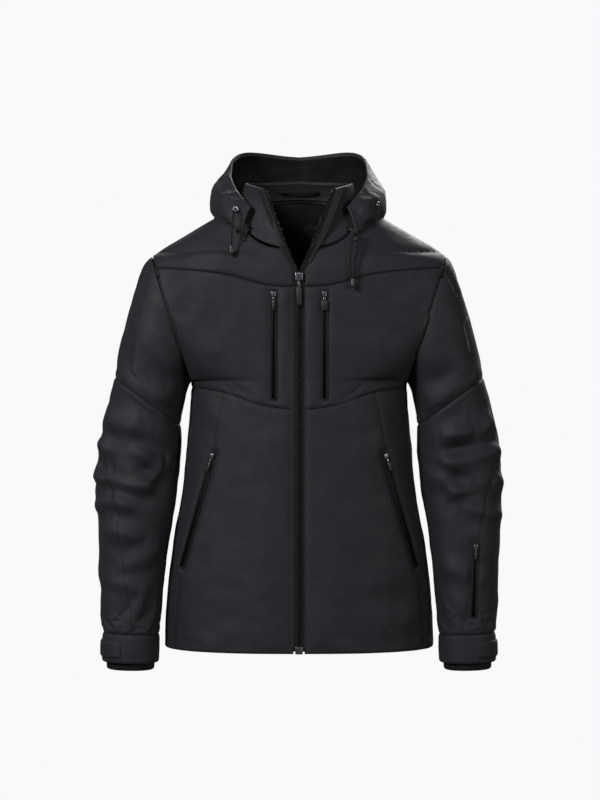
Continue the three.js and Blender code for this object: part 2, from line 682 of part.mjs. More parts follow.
// Sleeves: rings between an outer and an inner line, with a depth and a forward shift. Values run down the arm.
const elbowInner = chestHalfWidth + 19;
const upperArm = {
  outer: [
    [0, [shoulderHalfWidth, armholeTop]],
    [0.12, [256, -104]],
    [0.3, [270, -148]],
    [0.55, [289, -222]],
    [0.8, [312, -316]],
    [1, [331, -elbowDrop + 7]],
  ],
  inner: [
    [0, [chestHalfWidth, armholeBottom]],
    [0.12, [chestHalfWidth + 6, -298]],
    [0.3, [chestHalfWidth + 12, -314]],
    [0.55, [chestHalfWidth + 17, -342]],
    [0.8, [chestHalfWidth + 18, -374]],
    [1, [elbowInner, -elbowDrop - 7]],
  ],
  depth: [[0, armholeHalfDepth], [0.3, 81], [0.6, 76], [1, 70]],
  shift: [[0, 0], [1, -6]],
};
const foreArm = {
  outer: [
    [0, [331, -elbowDrop + 7]],
    [0.2, [334, -466]],
    [0.45, [329, -545]],
    [0.75, [324, -640]],
    [1, [322, cuffHeight - sleeveEnd]],
  ],
  inner: [
    [0, [elbowInner, -elbowDrop - 7]],
    [0.2, [chestHalfWidth + 27, -480]],
    [0.45, [chestHalfWidth + 40, -556]],
    [0.75, [227, -648]],
    [1, [229, cuffHeight - sleeveEnd - 4]],
  ],
  depth: [[0, 70], [0.2, 65], [0.45, 60], [0.75, 53], [1, 50]],
  shift: [[0, -6], [0.2, -11], [0.45, -18], [0.75, -28], [1, -34]],
};
const cuff = {
  outer: [[0, [322, cuffHeight - sleeveEnd]], [1, [323, 2 - sleeveEnd]]],
  inner: [[0, [229, cuffHeight - sleeveEnd - 4]], [1, [230, -sleeveEnd]]],
  depth: [[0, 50], [1, 50]],
  shift: [[0, -34], [1, -36]],
};

function armRing(section, sign, angle, t, inset = 0) {
  const line = (table) => [0, 1].map((k) => through(table.map(([at, point]) => [at, point[k]]), t));
  const [outer, inner] = [line(section.outer), line(section.inner)];
  const c = Math.cos(angle);
  const half = [(outer[0] - inner[0]) / 2, (outer[1] - inner[1]) / 2];
  const shrink = 1 - inset / Math.hypot(...half);
  const depth = through(section.depth, t) - inset;
  const x = (outer[0] + inner[0]) / 2 + half[0] * c * shrink;
  const z = (outer[1] + inner[1]) / 2 + half[1] * c * shrink;
  const bulge = Math.max(1 - Math.abs(c) ** armholePower, 0) ** (1 / armholePower);
  return [sign * x, through(section.shift, t) - Math.sign(Math.sin(angle)) * depth * bulge, z];
}

const ringCount = 24;
const ringStep = (2 * Math.PI) / ringCount;

function armTube(section, sign, from, to, count, inset, thickness) {
  const stations = steps(count).map((t) => lerp(from, to, t));
  return tube((angle, t) => armRing(section, sign, angle, t, inset), ringCount, stations, thickness);
}

const strapHeight = 28;
const strapThickness = 3;
const strapTop = 0.26; // share of the cuff above the strap
const strapSteps = 8;
const strapFrom = 5 * ringStep;
for (const [hand, sign] of [["right", -1], ["left", 1]]) {
  const passZip = zipFrame(
    armRing(foreArm, 1, 1.32, 0.47).map((v, k) => (k === 0 ? sign * v : v)),
    armRing(foreArm, 1, 1.42, 0.88).map((v, k) => (k === 0 ? sign * v : v)),
    [0, -1, 0],
  );
  const upper = armTube(upperArm, sign, 0.004, 0.999, 7, 0, shellThickness);
  add("upper_sleeve_" + hand, upper, fabric);
  const lower = armTube(foreArm, sign, 0.001, 0.999, 7, 0, shellThickness);
  add("lower_sleeve_" + hand, hand === "left" ? cut(lower, stripSlot(passZip)) : lower, fabric);
  if (hand === "left") addPocketZip("pass", passZip, 16, 2.6);
  add("cuff_" + hand, armTube(cuff, sign, 0.006, 1, 1, 0, shellThickness - 2), fabric);
  const storm = tube((angle, t) => {
    const [x, y, z] = armRing(cuff, sign, angle, lerp(0.3, 1, t), shellThickness - 2 + 0.5);
    return [x, y, z - 12 * t];
  }, ringCount, [0, 1], 2.5);
  add("storm_cuff_" + hand, storm, darkFabric);
  const strapLow = lerp(strapTop, 1, strapHeight / cuffHeight);
  const strapSurface = (u, v) => {
    return armRing(cuff, sign, strapFrom - u * strapSteps * ringStep, lerp(strapLow, strapTop, v));
  };
  const strap = sheet(strapSurface, steps(strapSteps), [0, 1], sign, -strapThickness - restGap, strapThickness);
  add("cuff_strap_" + hand, strap, moulded);
}

// Badge: a plain patch on the outside of the left upper sleeve.
const badgeSurface = (u, v) => armRing(upperArm, 1, lerp(3, 1, u) * ringStep, lerp(0.58, 0.42, v));
add("sleeve_badge", sheet(badgeSurface, steps(2), steps(2), 1, -restGap - 1.8, 1.2), darkFabric);

// Hanger loop: a short tape across the inside of the collar's back.
const loopHeight = 4;
const loopBack = [[-0.11, 2.1], [-0.09, 6], [0, 9], [0.09, 6], [0.11, 2.1]];
add("hanger_loop", bar(loopBack.map(([a, off]) => {
  const [x, y, z] = collarPoint(Math.abs(a), 0.35);
  const inner = y - collarThickness - off;
  const corners = [[0, 0], [-1.2, 0], [-1.2, loopHeight], [0, loopHeight]];
  return corners.map(([dy, dz]) => [Math.sign(a) * x, inner + dy, z + dz]);
})), darkFabric);

// Hood cords: each point list is the cord's route from the hood down to its end.
const cordRoutes = {
  right: [
    [-103.5, -84.9, -13],
    [-104.2, -92, -13.8],
    [-105, -97.5, -17],
    [-106, -102, -24],
    [-107, -104.5, -35],
    [-107.8, -105.6, -47],
    [-108.5, -106.5, -60],
    [-109, -107, -73],
  ],
  left_front: [
    [89, -96.4, -53],
    [88, -103, -57],
    [86, -107, -65],
    [83.5, -110, -79],
    [82.5, -113, -95],
    [83, -115.5, -110],
    [84.2, -117, -127],
  ],
  left_rear: [
    [95, -96.4, -52],
    [95.2, -103, -57],
    [94.5, -107, -66],
    [92.8, -110, -80],
    [90.8, -113, -95],
    [89, -115.5, -110],
    [88.2, -117, -127],
  ],
};

function vectors(list) {
  return list.map((point) => new THREE.Vector3(...point));
}

const cordSection = new THREE.Shape();
for (let i = 0; i < 8; i += 1) {
  const angle = (i * Math.PI) / 4;
  const corner = [(cordDiameter / 2) * Math.cos(angle), (cordDiameter / 2) * Math.sin(angle)];
  if (i === 0) cordSection.moveTo(...corner);
  else cordSection.lineTo(...corner);
}
for (const [name, route] of Object.entries(cordRoutes)) {
  const path = new THREE.CatmullRomCurve3(vectors(route));
  const cord = new THREE.ExtrudeGeometry(cordSection, { steps: 10, extrudePath: path });
  add("hood_cord_" + name, cord, darkFabric);
}

// Cord ends: bell-shaped, hanging below the cords.
const endProfile = [[0, 0], [2.6, 0], [3.2, -4], [4.2, -11], [4.4, -14], [0, -15]];

function addCordEnd(name, x, y, z) {
  const turned = endProfile.slice().reverse().map(([r, h]) => new THREE.Vector2(r, h));
  const bell = new THREE.LatheGeometry(turned, 16);
  bell.rotateX(Math.PI / 2);
  bell.translate(x, y, z - restGap);
  add(name, bell, moulded);
}

addCordEnd("cord_end_right", -109, -107, -73);
addCordEnd("cord_end_left", 86.2, -117, -127);

// Eyelets: rings set on the hood's front corners.
const eyeletProfile = [[2, 0], [4.6, 0], [4.2, 1.2], [2.4, 1.2], [2, 0]];

function addEyelet(name, degrees, b) {
  const out = new THREE.Vector3(...hoodPoint(degrees, b));
  const [before, after, below, above] = vectors([
    hoodPoint(degrees - 1, b),
    hoodPoint(degrees + 1, b),
    hoodPoint(degrees, b - 0.02),
    hoodPoint(degrees, b + 0.02),
  ]);
  const along = after.sub(before);
  const up = above.sub(below);
  const normal = new THREE.Vector3().crossVectors(up, along).normalize();
  const ring = new THREE.LatheGeometry(eyeletProfile.map(([r, h]) => new THREE.Vector2(r, h)), 16);
  ring.applyQuaternion(new THREE.Quaternion().setFromUnitVectors(new THREE.Vector3(0, 1, 0), normal));
  const seat = out.addScaledVector(normal, 0.1);
  ring.translate(seat.x, seat.y, seat.z);
  add(name, ring, darkMetal);
}

addEyelet("eyelet_right", -127, 0.72);
addEyelet("eyelet_left", 113, 0.66);

export default jacket;
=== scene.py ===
"""Hooded ski jacket: cloth panels, sleeves, hood, zips, cords and trims round a fixed frame.

Surfaces are worked out in millimetres and become metres when a mesh is made.
+Z is up, the front faces -Y, and left and right are the wearer's.
"""

import math

import bmesh
import bpy
import numpy as np
from mathutils import Matrix, Vector, noise


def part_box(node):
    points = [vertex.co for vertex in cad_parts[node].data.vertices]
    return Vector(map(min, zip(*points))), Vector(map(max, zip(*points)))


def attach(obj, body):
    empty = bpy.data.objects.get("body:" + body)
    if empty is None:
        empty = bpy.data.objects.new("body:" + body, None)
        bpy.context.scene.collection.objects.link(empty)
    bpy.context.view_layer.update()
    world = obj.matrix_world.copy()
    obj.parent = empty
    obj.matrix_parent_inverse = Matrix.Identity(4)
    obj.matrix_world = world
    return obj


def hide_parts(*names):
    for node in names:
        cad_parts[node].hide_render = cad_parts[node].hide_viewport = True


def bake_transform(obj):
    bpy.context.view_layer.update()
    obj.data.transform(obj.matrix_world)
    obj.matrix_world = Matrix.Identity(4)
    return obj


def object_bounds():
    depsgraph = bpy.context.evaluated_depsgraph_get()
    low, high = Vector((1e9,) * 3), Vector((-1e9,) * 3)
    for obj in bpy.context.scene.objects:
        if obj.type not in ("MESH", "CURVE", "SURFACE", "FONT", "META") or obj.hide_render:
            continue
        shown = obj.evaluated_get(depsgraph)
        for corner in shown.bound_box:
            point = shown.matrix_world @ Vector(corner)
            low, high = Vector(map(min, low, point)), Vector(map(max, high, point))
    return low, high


bl_info = {
    "name": "Ski Jacket",
    "version": (1, 0, 0),
    "blender": (4, 5, 0),
    "location": "3D View > Sidebar > Ski Jacket",
    "description": "Builds a padded, hooded ski jacket from panels, zips, cords and trims",
    "category": "Object",
}

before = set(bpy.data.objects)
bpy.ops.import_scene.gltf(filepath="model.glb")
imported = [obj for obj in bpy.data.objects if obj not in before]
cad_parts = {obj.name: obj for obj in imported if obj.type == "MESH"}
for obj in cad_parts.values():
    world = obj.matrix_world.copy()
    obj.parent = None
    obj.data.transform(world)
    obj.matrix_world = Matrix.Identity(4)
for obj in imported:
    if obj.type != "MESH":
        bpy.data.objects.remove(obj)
CAD_BOX = [list(corner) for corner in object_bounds()]

MM = 0.001
HANDS = (("right", -1), ("left", 1))


# Driving sizes of the pattern, in millimetres

BODY_LENGTH = -round(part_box("back_panel")[0].z / MM)
HEM_HALF_WIDTH = 222
HEM_FRONT_DEPTH = 132
HEM_BACK_DEPTH = 130
CHEST_HALF_WIDTH = 178
SHOULDER_HALF_WIDTH = 242
SHOULDER_DROP = 84
ARMHOLE_HEIGHT = 206
ARMHOLE_HALF_DEPTH = 84
NECK_HALF_WIDTH = 100
NECK_FRONT_DROP = 78
SLEEVE_END = 752
ELBOW_DROP = 399
CUFF_HEIGHT = 50
COLLAR_THICKNESS = 6
ZIP_TAPE_WIDTH = 8.4
TEETH_WIDTH = 2.6
POCKET_ZIP_WIDTH = 9
CORD_DIAMETER = 3
REST_GAP = 0.3
ZIP_CLOSED_TOP = -112
OPENING_TOP = 20
SECTION_POWER = 2.5
ARMHOLE_POWER = 2.2
ARMHOLE_TOP = -SHOULDER_DROP
ARMHOLE_BOTTOM = ARMHOLE_TOP - ARMHOLE_HEIGHT
ARMHOLE_MIDDLE = (ARMHOLE_TOP + ARMHOLE_BOTTOM) / 2
SIDE_FLARE = [(0, 0), (0.1, 0.02), (0.24, 0.13), (0.43, 0.34), (0.61, 0.66), (0.8, 0.9), (1, 1)]
YOKE_SEAM = [(0, -141), (0.1, -138), (0.28, -121), (0.57, -111), (1, -106)]
CHEST_SEAM = [(0, -339), (0.135, -333), (0.4, -312), (0.7, -304), (1, -302)]
BACK_SEAM = [(0, -128), (0.5, -124), (1, -120)]


class JacketSizes(bpy.types.PropertyGroup):
    """Sizes of the cloth and the trims that a user would change."""

    cloth_thickness: bpy.props.FloatProperty(
        name="Cloth thickness",
        description="Face cloth, insulation and backing at an edge",
        default=4.5 * MM,
        unit="LENGTH",
    )
    seam_depth: bpy.props.FloatProperty(
        name="Seam depth", description="How far a sewn edge sinks", default=1.9 * MM, unit="LENGTH"
    )
    seam_width: bpy.props.FloatProperty(
        name="Seam width", description="How wide the cloth turns in at a seam", default=2.6 * MM, unit="LENGTH"
    )
    loft: bpy.props.FloatProperty(
        name="Loft", description="How far the padding rises between seams", default=2.2 * MM, unit="LENGTH"
    )
    tooth_pitch: bpy.props.FloatProperty(
        name="Tooth pitch", description="Spacing of one row of main zip teeth", default=2.9 * MM, unit="LENGTH"
    )


class JacketColours(bpy.types.PropertyGroup):
    """Colours of the finishes."""

    shell: bpy.props.FloatVectorProperty(
        name="Shell", description="Face cloth", default=(0.0075, 0.0073, 0.0106), subtype="COLOR"
    )
    lining: bpy.props.FloatVectorProperty(
        name="Lining", description="Lining and facings", default=(0.0035, 0.0035, 0.0042), subtype="COLOR"
    )
    zip_black: bpy.props.FloatVectorProperty(
        name="Zip tape", description="Woven zip tape", default=(0.0032, 0.0032, 0.0036), subtype="COLOR"
    )
    metal: bpy.props.FloatVectorProperty(
        name="Metal", description="Sliders, eyelets and teeth", default=(0.09, 0.09, 0.1), subtype="COLOR"
    )
    moulded: bpy.props.FloatVectorProperty(
        name="Moulded parts", description="Pulls and cord ends", default=(0.0045, 0.0045, 0.005), subtype="COLOR"
    )


def sizes():
    return bpy.context.scene.jacket_sizes


def colours():
    return bpy.context.scene.jacket_colours


# Curves and surfaces. Every function takes and returns numpy arrays with one entry for each point.


def lerp(a, b, t):
    return a + (b - a) * t


def smooth(x):
    t = np.clip(x, 0, 1)
    return t * t * (3 - 2 * t)


def unit(vectors):
    length = np.linalg.norm(vectors, axis=-1, keepdims=True)
    return vectors / np.maximum(length, 1e-9)


def through(table, at):
    """Smooth curve through (place, value) pairs. A value may itself hold one number for each point."""
    at = np.atleast_1d(np.asarray(at, float))
    places = np.array([place for place, _ in table], float)
    values = np.array([np.broadcast_to(value, at.shape) for _, value in table], float)
    x = np.clip(at, places[0], places[-1])
    i = np.searchsorted(places[1:-1], x, side="left")
    column = np.arange(len(at))
    last = len(places) - 1

    def slope(k):
        low, high = np.maximum(k - 1, 0), np.minimum(k + 1, last)
        return (values[high, column] - values[low, column]) / (places[high] - places[low])

    width = places[i + 1] - places[i]
    t = (x - places[i]) / width
    rise = t * t * (3 - 2 * t)
    first, second = values[i, column], values[i + 1, column]
    bend = width * t * (1 - t) * ((1 - t) * slope(i) - t * slope(i + 1))
    return first + (second - first) * rise + bend


def side_width(z, rounding):
    drop = (ARMHOLE_BOTTOM - z) / (BODY_LENGTH + ARMHOLE_BOTTOM)
    below = lerp(CHEST_HALF_WIDTH, HEM_HALF_WIDTH, through(SIDE_FLARE, drop))
    arm_line = lerp(CHEST_HALF_WIDTH, SHOULDER_HALF_WIDTH, (z - ARMHOLE_BOTTOM) / ARMHOLE_HEIGHT)
    crest = lerp(NECK_HALF_WIDTH, SHOULDER_HALF_WIDTH, -z / SHOULDER_DROP)
    if rounding:
        upper = -rounding * np.logaddexp(-arm_line / rounding, -crest / rounding)
    else:
        upper = np.minimum(arm_line, crest)
    return np.where(z <= ARMHOLE_BOTTOM, below, upper)


def armhole_depth(z):
    level = np.minimum(np.abs(z - ARMHOLE_MIDDLE) / (ARMHOLE_HEIGHT / 2), 1)
    return ARMHOLE_HALF_DEPTH * (1 - level**ARMHOLE_POWER) ** (1 / ARMHOLE_POWER)


def front_depth(z):
    upper = [(ZIP_CLOSED_TOP, 110), (-84, 102), (-50, 90), (0, 76), (30, 70)]
    lower = lerp(110, HEM_FRONT_DEPTH, (ZIP_CLOSED_TOP - z) / (BODY_LENGTH + ZIP_CLOSED_TOP))
    return np.where(z > ZIP_CLOSED_TOP, through(upper, z), lower)


def back_depth(z):
    table = [(-400, 122), (-290, 127), (-220, 133), (-150, 130), (-84, 113), (-40, 93), (0, 80), (30, 74)]
    lower = lerp(122, HEM_BACK_DEPTH, (-400 - z) / (BODY_LENGTH - 400))
    return np.where(z > -400, through(table, z), lower)


def bluntness(z):
    low = [(ARMHOLE_BOTTOM, 2.1), (ARMHOLE_BOTTOM + 50, 1.3), (ARMHOLE_MIDDLE, 1)]
    high = [(ARMHOLE_TOP - 46, 1.1), (ARMHOLE_TOP, 1.7), (0, 2)]
    return through(low + high, z)


def body_point(side, s, z):
    """side is -1 for the front and 1 for the back; s runs from -1 to 1 between the two sides."""
    reach = np.minimum(np.abs(s), 1)
    angle = reach * math.pi / 2
    width = lerp(side_width(z, 12), side_width(z, 0), reach**6)
    depth = front_depth(z) if side < 0 else back_depth(z)
    edge = armhole_depth(z)
    x = np.sign(s) * width * np.sin(angle) ** (2 / SECTION_POWER)
    fall = np.maximum(np.cos(angle), 0) ** (2 / bluntness(z))
    return np.stack([x, side * (edge + (depth - edge) * fall), z], axis=-1)


def fraction_at(x, z):
    """The s at which the section at height z reaches x."""
    x, z = np.broadcast_arrays(np.atleast_1d(np.asarray(x, float)), np.atleast_1d(np.asarray(z, float)))
    soft, sharp = side_width(z, 12), side_width(z, 0)
    low, high = np.zeros(x.shape), np.ones(x.shape)
    for _ in range(22):
        s = (low + high) / 2
        short = lerp(soft, sharp, s**6) * np.sin(s * math.pi / 2) ** (2 / SECTION_POWER) < x
        low, high = np.where(short, s, low), np.where(short, high, s)
    return (low + high) / 2


def front_edge(z):
    """Half-opening of the cloth's front edges: beside the zip, then spreading to the collar's corners."""
    half = ZIP_TAPE_WIDTH + 2 * REST_GAP
    return through([(ZIP_CLOSED_TOP - 4, half), (-82, 24), (-40, 40), (OPENING_TOP, 62)], z)


def edge_depth(z):
    level = np.minimum(z, -NECK_FRONT_DROP)
    depth = -body_point(-1, fraction_at(front_edge(level), level), level)[:, 1]
    rise = (z + NECK_FRONT_DROP) / (OPENING_TOP + NECK_FRONT_DROP)
    return np.where(z > -NECK_FRONT_DROP, lerp(depth, 80, rise), depth)


def front_start(z):
    return fraction_at(front_edge(z), z)


SIDE_MARGIN = 0.001
SEAM_HALF = 0.12


def blended(side, sign, bottom, top, inner, outer):
    """Surface over four edges, each a function of one fraction that gives (s, z)."""

    def surface(u, v):
        zero, one = np.zeros(u.shape), np.ones(u.shape)
        low, high, near, far = bottom(u), top(u), inner(v), outer(v)
        corners = [bottom(zero), bottom(one), top(zero), top(one)]
        made = []
        for k in range(2):
            ruled = lerp(low[k], high[k], v) + lerp(near[k], far[k], u)
            flat = lerp(lerp(corners[0][k], corners[1][k], u), lerp(corners[2][k], corners[3][k], u), v)
            made.append(ruled - flat)
        return body_point(side, sign * made[0], made[1])

    return surface


def between(side, sign, lower, upper, start):
    """A panel between two seams, from the zip (or the centre of the back) to the side."""

    def surface(u, v):
        middle = (through(lower, u) + through(upper, u)) / 2
        place = lerp(start(middle), 1 - SIDE_MARGIN, u)
        z = lerp(through(lower, place) + SEAM_HALF, through(upper, place) - SEAM_HALF, v)
        return body_point(side, sign * lerp(start(z), 1 - SIDE_MARGIN, u), z)

    return surface


def neck_front(u):
    x = lerp(front_edge(-NECK_FRONT_DROP), NECK_HALF_WIDTH, 1 - (1 - u) ** 1.7)
    z = -NECK_FRONT_DROP * np.sqrt(np.maximum(1 - (x / NECK_HALF_WIDTH) ** 3, 0))
    return np.where(u == 1, 1, fraction_at(x, z)), z


def neck_back(u):
    z = 14 * (1 - u * u)
    return np.where(u == 1, 1, fraction_at(NECK_HALF_WIDTH * u, z)), z


CREST_BREAK = 0.24


def yoke(side, sign, seam, neck, inner):
    """A yoke: its outer edge climbs the armhole to the shoulder's tip, then the crest to the neck."""
    start = float(inner(np.zeros(1))[0][0])
    limit = 1 - SIDE_MARGIN

    def bottom(u):
        s = lerp(start, limit, u)
        return s, through(seam, s) + SEAM_HALF

    def top(u):
        s, z = neck(u)
        return np.minimum(s, limit), z

    foot = float(bottom(np.ones(1))[1][0])

    def outer(v):
        climb = lerp(foot, ARMHOLE_TOP, v / CREST_BREAK)
        crest = lerp(ARMHOLE_TOP, 0, (v - CREST_BREAK) / (1 - CREST_BREAK))
        return np.full(v.shape, limit), np.where(v < CREST_BREAK, climb, crest)

    return blended(side, sign, bottom, top, inner, outer)


def front_yoke_inner(v):
    z = lerp(through(YOKE_SEAM, 0.03)[0] + SEAM_HALF, -NECK_FRONT_DROP, v)
    return front_start(z), z


def back_yoke_inner(v):
    return np.zeros(v.shape), lerp(BACK_SEAM[0][1] + SEAM_HALF, 14, v)


def neck_seam(a):
    """The neck seam from the back's centre (0) round to the front edge (1)."""
    x = NECK_HALF_WIDTH * np.sin(np.minimum(a / 0.5, 1) * math.pi / 2)
    z = 14 * (1 - (x / NECK_HALF_WIDTH) ** 2)
    back = body_point(1, np.where(a == 0, 0, fraction_at(x, z)), z)
    t = np.clip((1 - a) / 0.5, 0, 1)
    x = lerp(front_edge(-NECK_FRONT_DROP), NECK_HALF_WIDTH, 1 - (1 - t) ** 1.7)
    z = -NECK_FRONT_DROP * np.sqrt(np.maximum(1 - (x / NECK_HALF_WIDTH) ** 3, 0))
    front = body_point(-1, fraction_at(x, z), z)
    return np.where((a < 0.5)[:, None], back, front)


def collar_rim(a):
    angle = np.radians(through([(0, 0), (0.5, 92), (1, 142)], a))
    z = through([(0, 46), (0.5, 36), (1, OPENING_TOP)], a)
    return np.stack([88 * np.sin(angle) + 6 * a**4, 70 * np.cos(angle) - 24 * a**3, z], axis=-1)


def collar_point(a, b):
    point = lerp(neck_seam(a), collar_rim(a), b[:, None])
    pull = (front_edge(point[:, 2]) - point[:, 0]) * np.maximum(a, 0) ** 8
    return point + np.stack([pull, 0 * pull, 0 * pull], axis=-1)


def body_top(x, y):
    """Height of the body's surface above a point of the plan."""
    low, high = np.full(x.shape, -300.0), np.full(x.shape, 40.0)
    for _ in range(24):
        z = (low + high) / 2
        s = fraction_at(np.abs(x), z)
        wall = np.where(y < 0, -body_point(-1, s, z)[:, 1], body_point(1, s, z)[:, 1])
        inside = (np.abs(x) < side_width(z, 0)) & (wall > np.abs(y))
        low, high = np.where(inside, z, low), np.where(inside, high, z)
    return low


HOOD_CENTRE_Y = -5
HOOD_CLEAR = [(0, 12), (56, 12), (80, 5), (134, 5)]
HOOD_SEWN_GAP = 2
HOOD_REST = 0.4
HOOD_STATIONS = [
    (0, (90, 126, 158), ((186, -70), (192, 10), (160, 96))),
    (40, (93, 126, 158), ((178, -52), (180, 18), (144, 99))),
    (75, (108, 124, 142), ((152, -8), (148, 34), (118, 68))),
    (100, (113, 125, 138), ((145, -8), (140, 22), (112, 38))),
    (122, (114.5, 121, 128), ((136, -22), (130, 2), (110, 10))),
    (134, (115, 119, 122), ((126, -46), (118, -24), (108, -8))),
]
HOOD_FLOOR = [(0, -148), (40, -122), (75, -60), (134, -90)]
HOOD_END = 134
HOOD_SPLIT = 62


def hood_point(degrees, b):
    """The open hood: b runs from its sewn edge, over the shoulders, up to its rim."""
    at = np.abs(degrees)
    radii = [through([(s[0], s[1][i]) for s in HOOD_STATIONS], at) for i in range(3)]
    angle = np.radians(degrees)

    def place(r):
        return r * np.sin(angle), HOOD_CENTRE_Y + r * np.cos(angle)

    def resting(r):
        hanging = through(HOOD_FLOOR, at) + (radii[2] - r) * 1.6
        seated = np.sqrt(np.clip(np.maximum(b, 0) / 0.15, 0, 1))
        return np.maximum(body_top(*place(r)), hanging) + lerp(HOOD_SEWN_GAP, through(HOOD_CLEAR, at), seated)

    low_r = through([(i * HOOD_REST / 2, radii[i]) for i in range(3)], b)
    low_z = resting(low_r)
    path_r = [radii[2]] + [through([(s[0], s[2][i][0]) for s in HOOD_STATIONS], at) for i in range(3)]
    path_z = [resting(radii[2])] + [through([(s[0], s[2][i][1]) for s in HOOD_STATIONS], at) for i in range(3)]
    high_r = through([(HOOD_REST + i * 0.2, r) for i, r in enumerate(path_r)], b)
    high_z = through([(HOOD_REST + i * 0.2, z) for i, z in enumerate(path_z)], b)
    r, z = np.where(b <= HOOD_REST, low_r, high_r), np.where(b <= HOOD_REST, low_z, high_z)
    x, y = place(r)
    return np.stack([x, y, z], axis=-1)


UPPER_ARM = {
    "outer": [
        (0, SHOULDER_HALF_WIDTH, ARMHOLE_TOP),
        (0.12, 256, -104),
        (0.3, 270, -148),
        (0.55, 289, -222),
        (0.8, 312, -316),
        (1, 331, -ELBOW_DROP + 7),
    ],
    "inner": [
        (0, CHEST_HALF_WIDTH, ARMHOLE_BOTTOM),
        (0.12, 184, -298),
        (0.3, 190, -314),
        (0.55, 195, -342),
        (0.8, 196, -374),
        (1, 197, -ELBOW_DROP - 7),
    ],
    "depth": [(0, ARMHOLE_HALF_DEPTH), (0.3, 81), (0.6, 76), (1, 70)],
    "shift": [(0, 0), (1, -6)],
}
FOREARM = {
    "outer": [
        (0, 331, -ELBOW_DROP + 7),
        (0.2, 334, -466),
        (0.45, 329, -545),
        (0.75, 324, -640),
        (1, 322, CUFF_HEIGHT - SLEEVE_END),
    ],
    "inner": [
        (0, 197, -ELBOW_DROP - 7),
        (0.2, 205, -480),
        (0.45, 218, -556),
        (0.75, 227, -648),
        (1, 229, CUFF_HEIGHT - SLEEVE_END - 4),
    ],
    "depth": [(0, 70), (0.2, 65), (0.45, 60), (0.75, 53), (1, 50)],
    "shift": [(0, -6), (0.2, -11), (0.45, -18), (0.75, -28), (1, -34)],
}
CUFF = {
    "outer": [(0, 322, CUFF_HEIGHT - SLEEVE_END), (1, 323, 2 - SLEEVE_END)],
    "inner": [(0, 229, CUFF_HEIGHT - SLEEVE_END - 4), (1, 230, -SLEEVE_END)],
    "depth": [(0, 50), (1, 50)],
    "shift": [(0, -34), (1, -36)],
}


def arm_ring(section, sign, angle, t, inset=0):
    outer = np.stack([through([(row[0], row[k]) for row in section["outer"]], t) for k in (1, 2)])
    inner = np.stack([through([(row[0], row[k]) for row in section["inner"]], t) for k in (1, 2)])
    half, middle = (outer - inner) / 2, (outer + inner) / 2
    shrink = 1 - inset / np.hypot(half[0], half[1])
    depth = through(section["depth"], t) - inset
    c = np.cos(angle)
    x, z = middle + half * c * shrink
    bulge = np.maximum(1 - np.abs(c) ** ARMHOLE_POWER, 0) ** (1 / ARMHOLE_POWER)
    y = through(section["shift"], t) - np.sign(np.sin(angle)) * depth * bulge
    return np.stack([sign * x, y, z], axis=-1)


def one(surface, *place):
    """One point of a surface, as a vector in millimetres."""
    return Vector(surface(*(np.array([float(p)]) for p in place))[0])


def on_front(x, z):
    s = fraction_at(abs(x), z) * np.sign(x)
    return Vector((x, body_point(-1, s, np.array([float(z)]))[0][1], z))


class ZipLine:
    """A straight zip: its start, and its down, wide and out directions."""

    def __init__(self, top, bottom, outward, width=POCKET_ZIP_WIDTH):
        self.start = Vector(top)
        down = Vector(bottom) - self.start
        self.length = down.length
        self.down = down.normalized()
        self.wide = self.down.cross(Vector(outward)).normalized()
        self.out = self.wide.cross(self.down).normalized()
        self.width = width

    def matrix(self, along, out=0.0, across=0.0):
        """Places a shape drawn with x across, y along and z out, in millimetres."""
        place = self.start + self.down * along + self.out * out + self.wide * across
        turn = Matrix((self.wide, self.down, self.out)).transposed()
        return Matrix.Translation(place * MM) @ turn.to_4x4()

    def local(self, points):
        offset = points - np.array(self.start)
        return [offset @ np.array(axis) for axis in (self.down, self.wide, self.out)]


def zip_line(place):
    """The zips by name, with the same ends as on the frame."""
    if place == "main":
        z = ZIP_CLOSED_TOP - 4
        head = (0, -front_depth(np.array([float(z)]))[0], z)
        foot = (0, -HEM_FRONT_DEPTH, -BODY_LENGTH)
        return ZipLine(head, foot, (0, -1, 0), 2 * ZIP_TAPE_WIDTH)
    if place == "pass":
        ring = (one(lambda a, t: arm_ring(FOREARM, 1, a, t), a, t) for a, t in ((1.32, 0.47), (1.42, 0.88)))
        return ZipLine(*ring, (0, -1, 0))
    hand, kind = place.split("_")
    sign = 1 if hand == "left" else -1
    if kind == "chest":
        return ZipLine(on_front(sign * 41, -146), on_front(sign * 41, -322), (0, -1, 0))
    return ZipLine(on_front(sign * 139, -408), on_front(sign * 192, -596), (sign * 0.45, -1, 0))


# Materials


class Wire:
    """A shader socket that can be used in Python expressions."""

    def __init__(self, nodes, socket):
        self.nodes = nodes
        self.socket = socket

    def _math(self, operation, first, second=0.0):
        return self.nodes.add("ShaderNodeMath", {"operation": operation}, {0: first, 1: second})

    def __add__(self, other):
        return self._math("ADD", self, other)

    def __radd__(self, other):
        return self._math("ADD", other, self)

    def __sub__(self, other):
        return self._math("SUBTRACT", self, other)

    def __rsub__(self, other):
        return self._math("SUBTRACT", other, self)

    def __mul__(self, other):
        return self._math("MULTIPLY", self, other)

    def __rmul__(self, other):
        return self._math("MULTIPLY", other, self)

    def __truediv__(self, other):
        return self._math("DIVIDE", self, other)

    def __abs__(self):
        return self._math("ABSOLUTE", self)

    def ramp(self, low, high, first=0.0, second=1.0):
        """first at low, second at high, with a smooth change between them."""
        inputs = {"Value": self, "From Min": low, "From Max": high, "To Min": first, "To Max": second}
        return self.nodes.add("ShaderNodeMapRange", {"interpolation_type": "SMOOTHSTEP"}, inputs, "Result")

    def sine(self):
        return self._math("SINE", self)


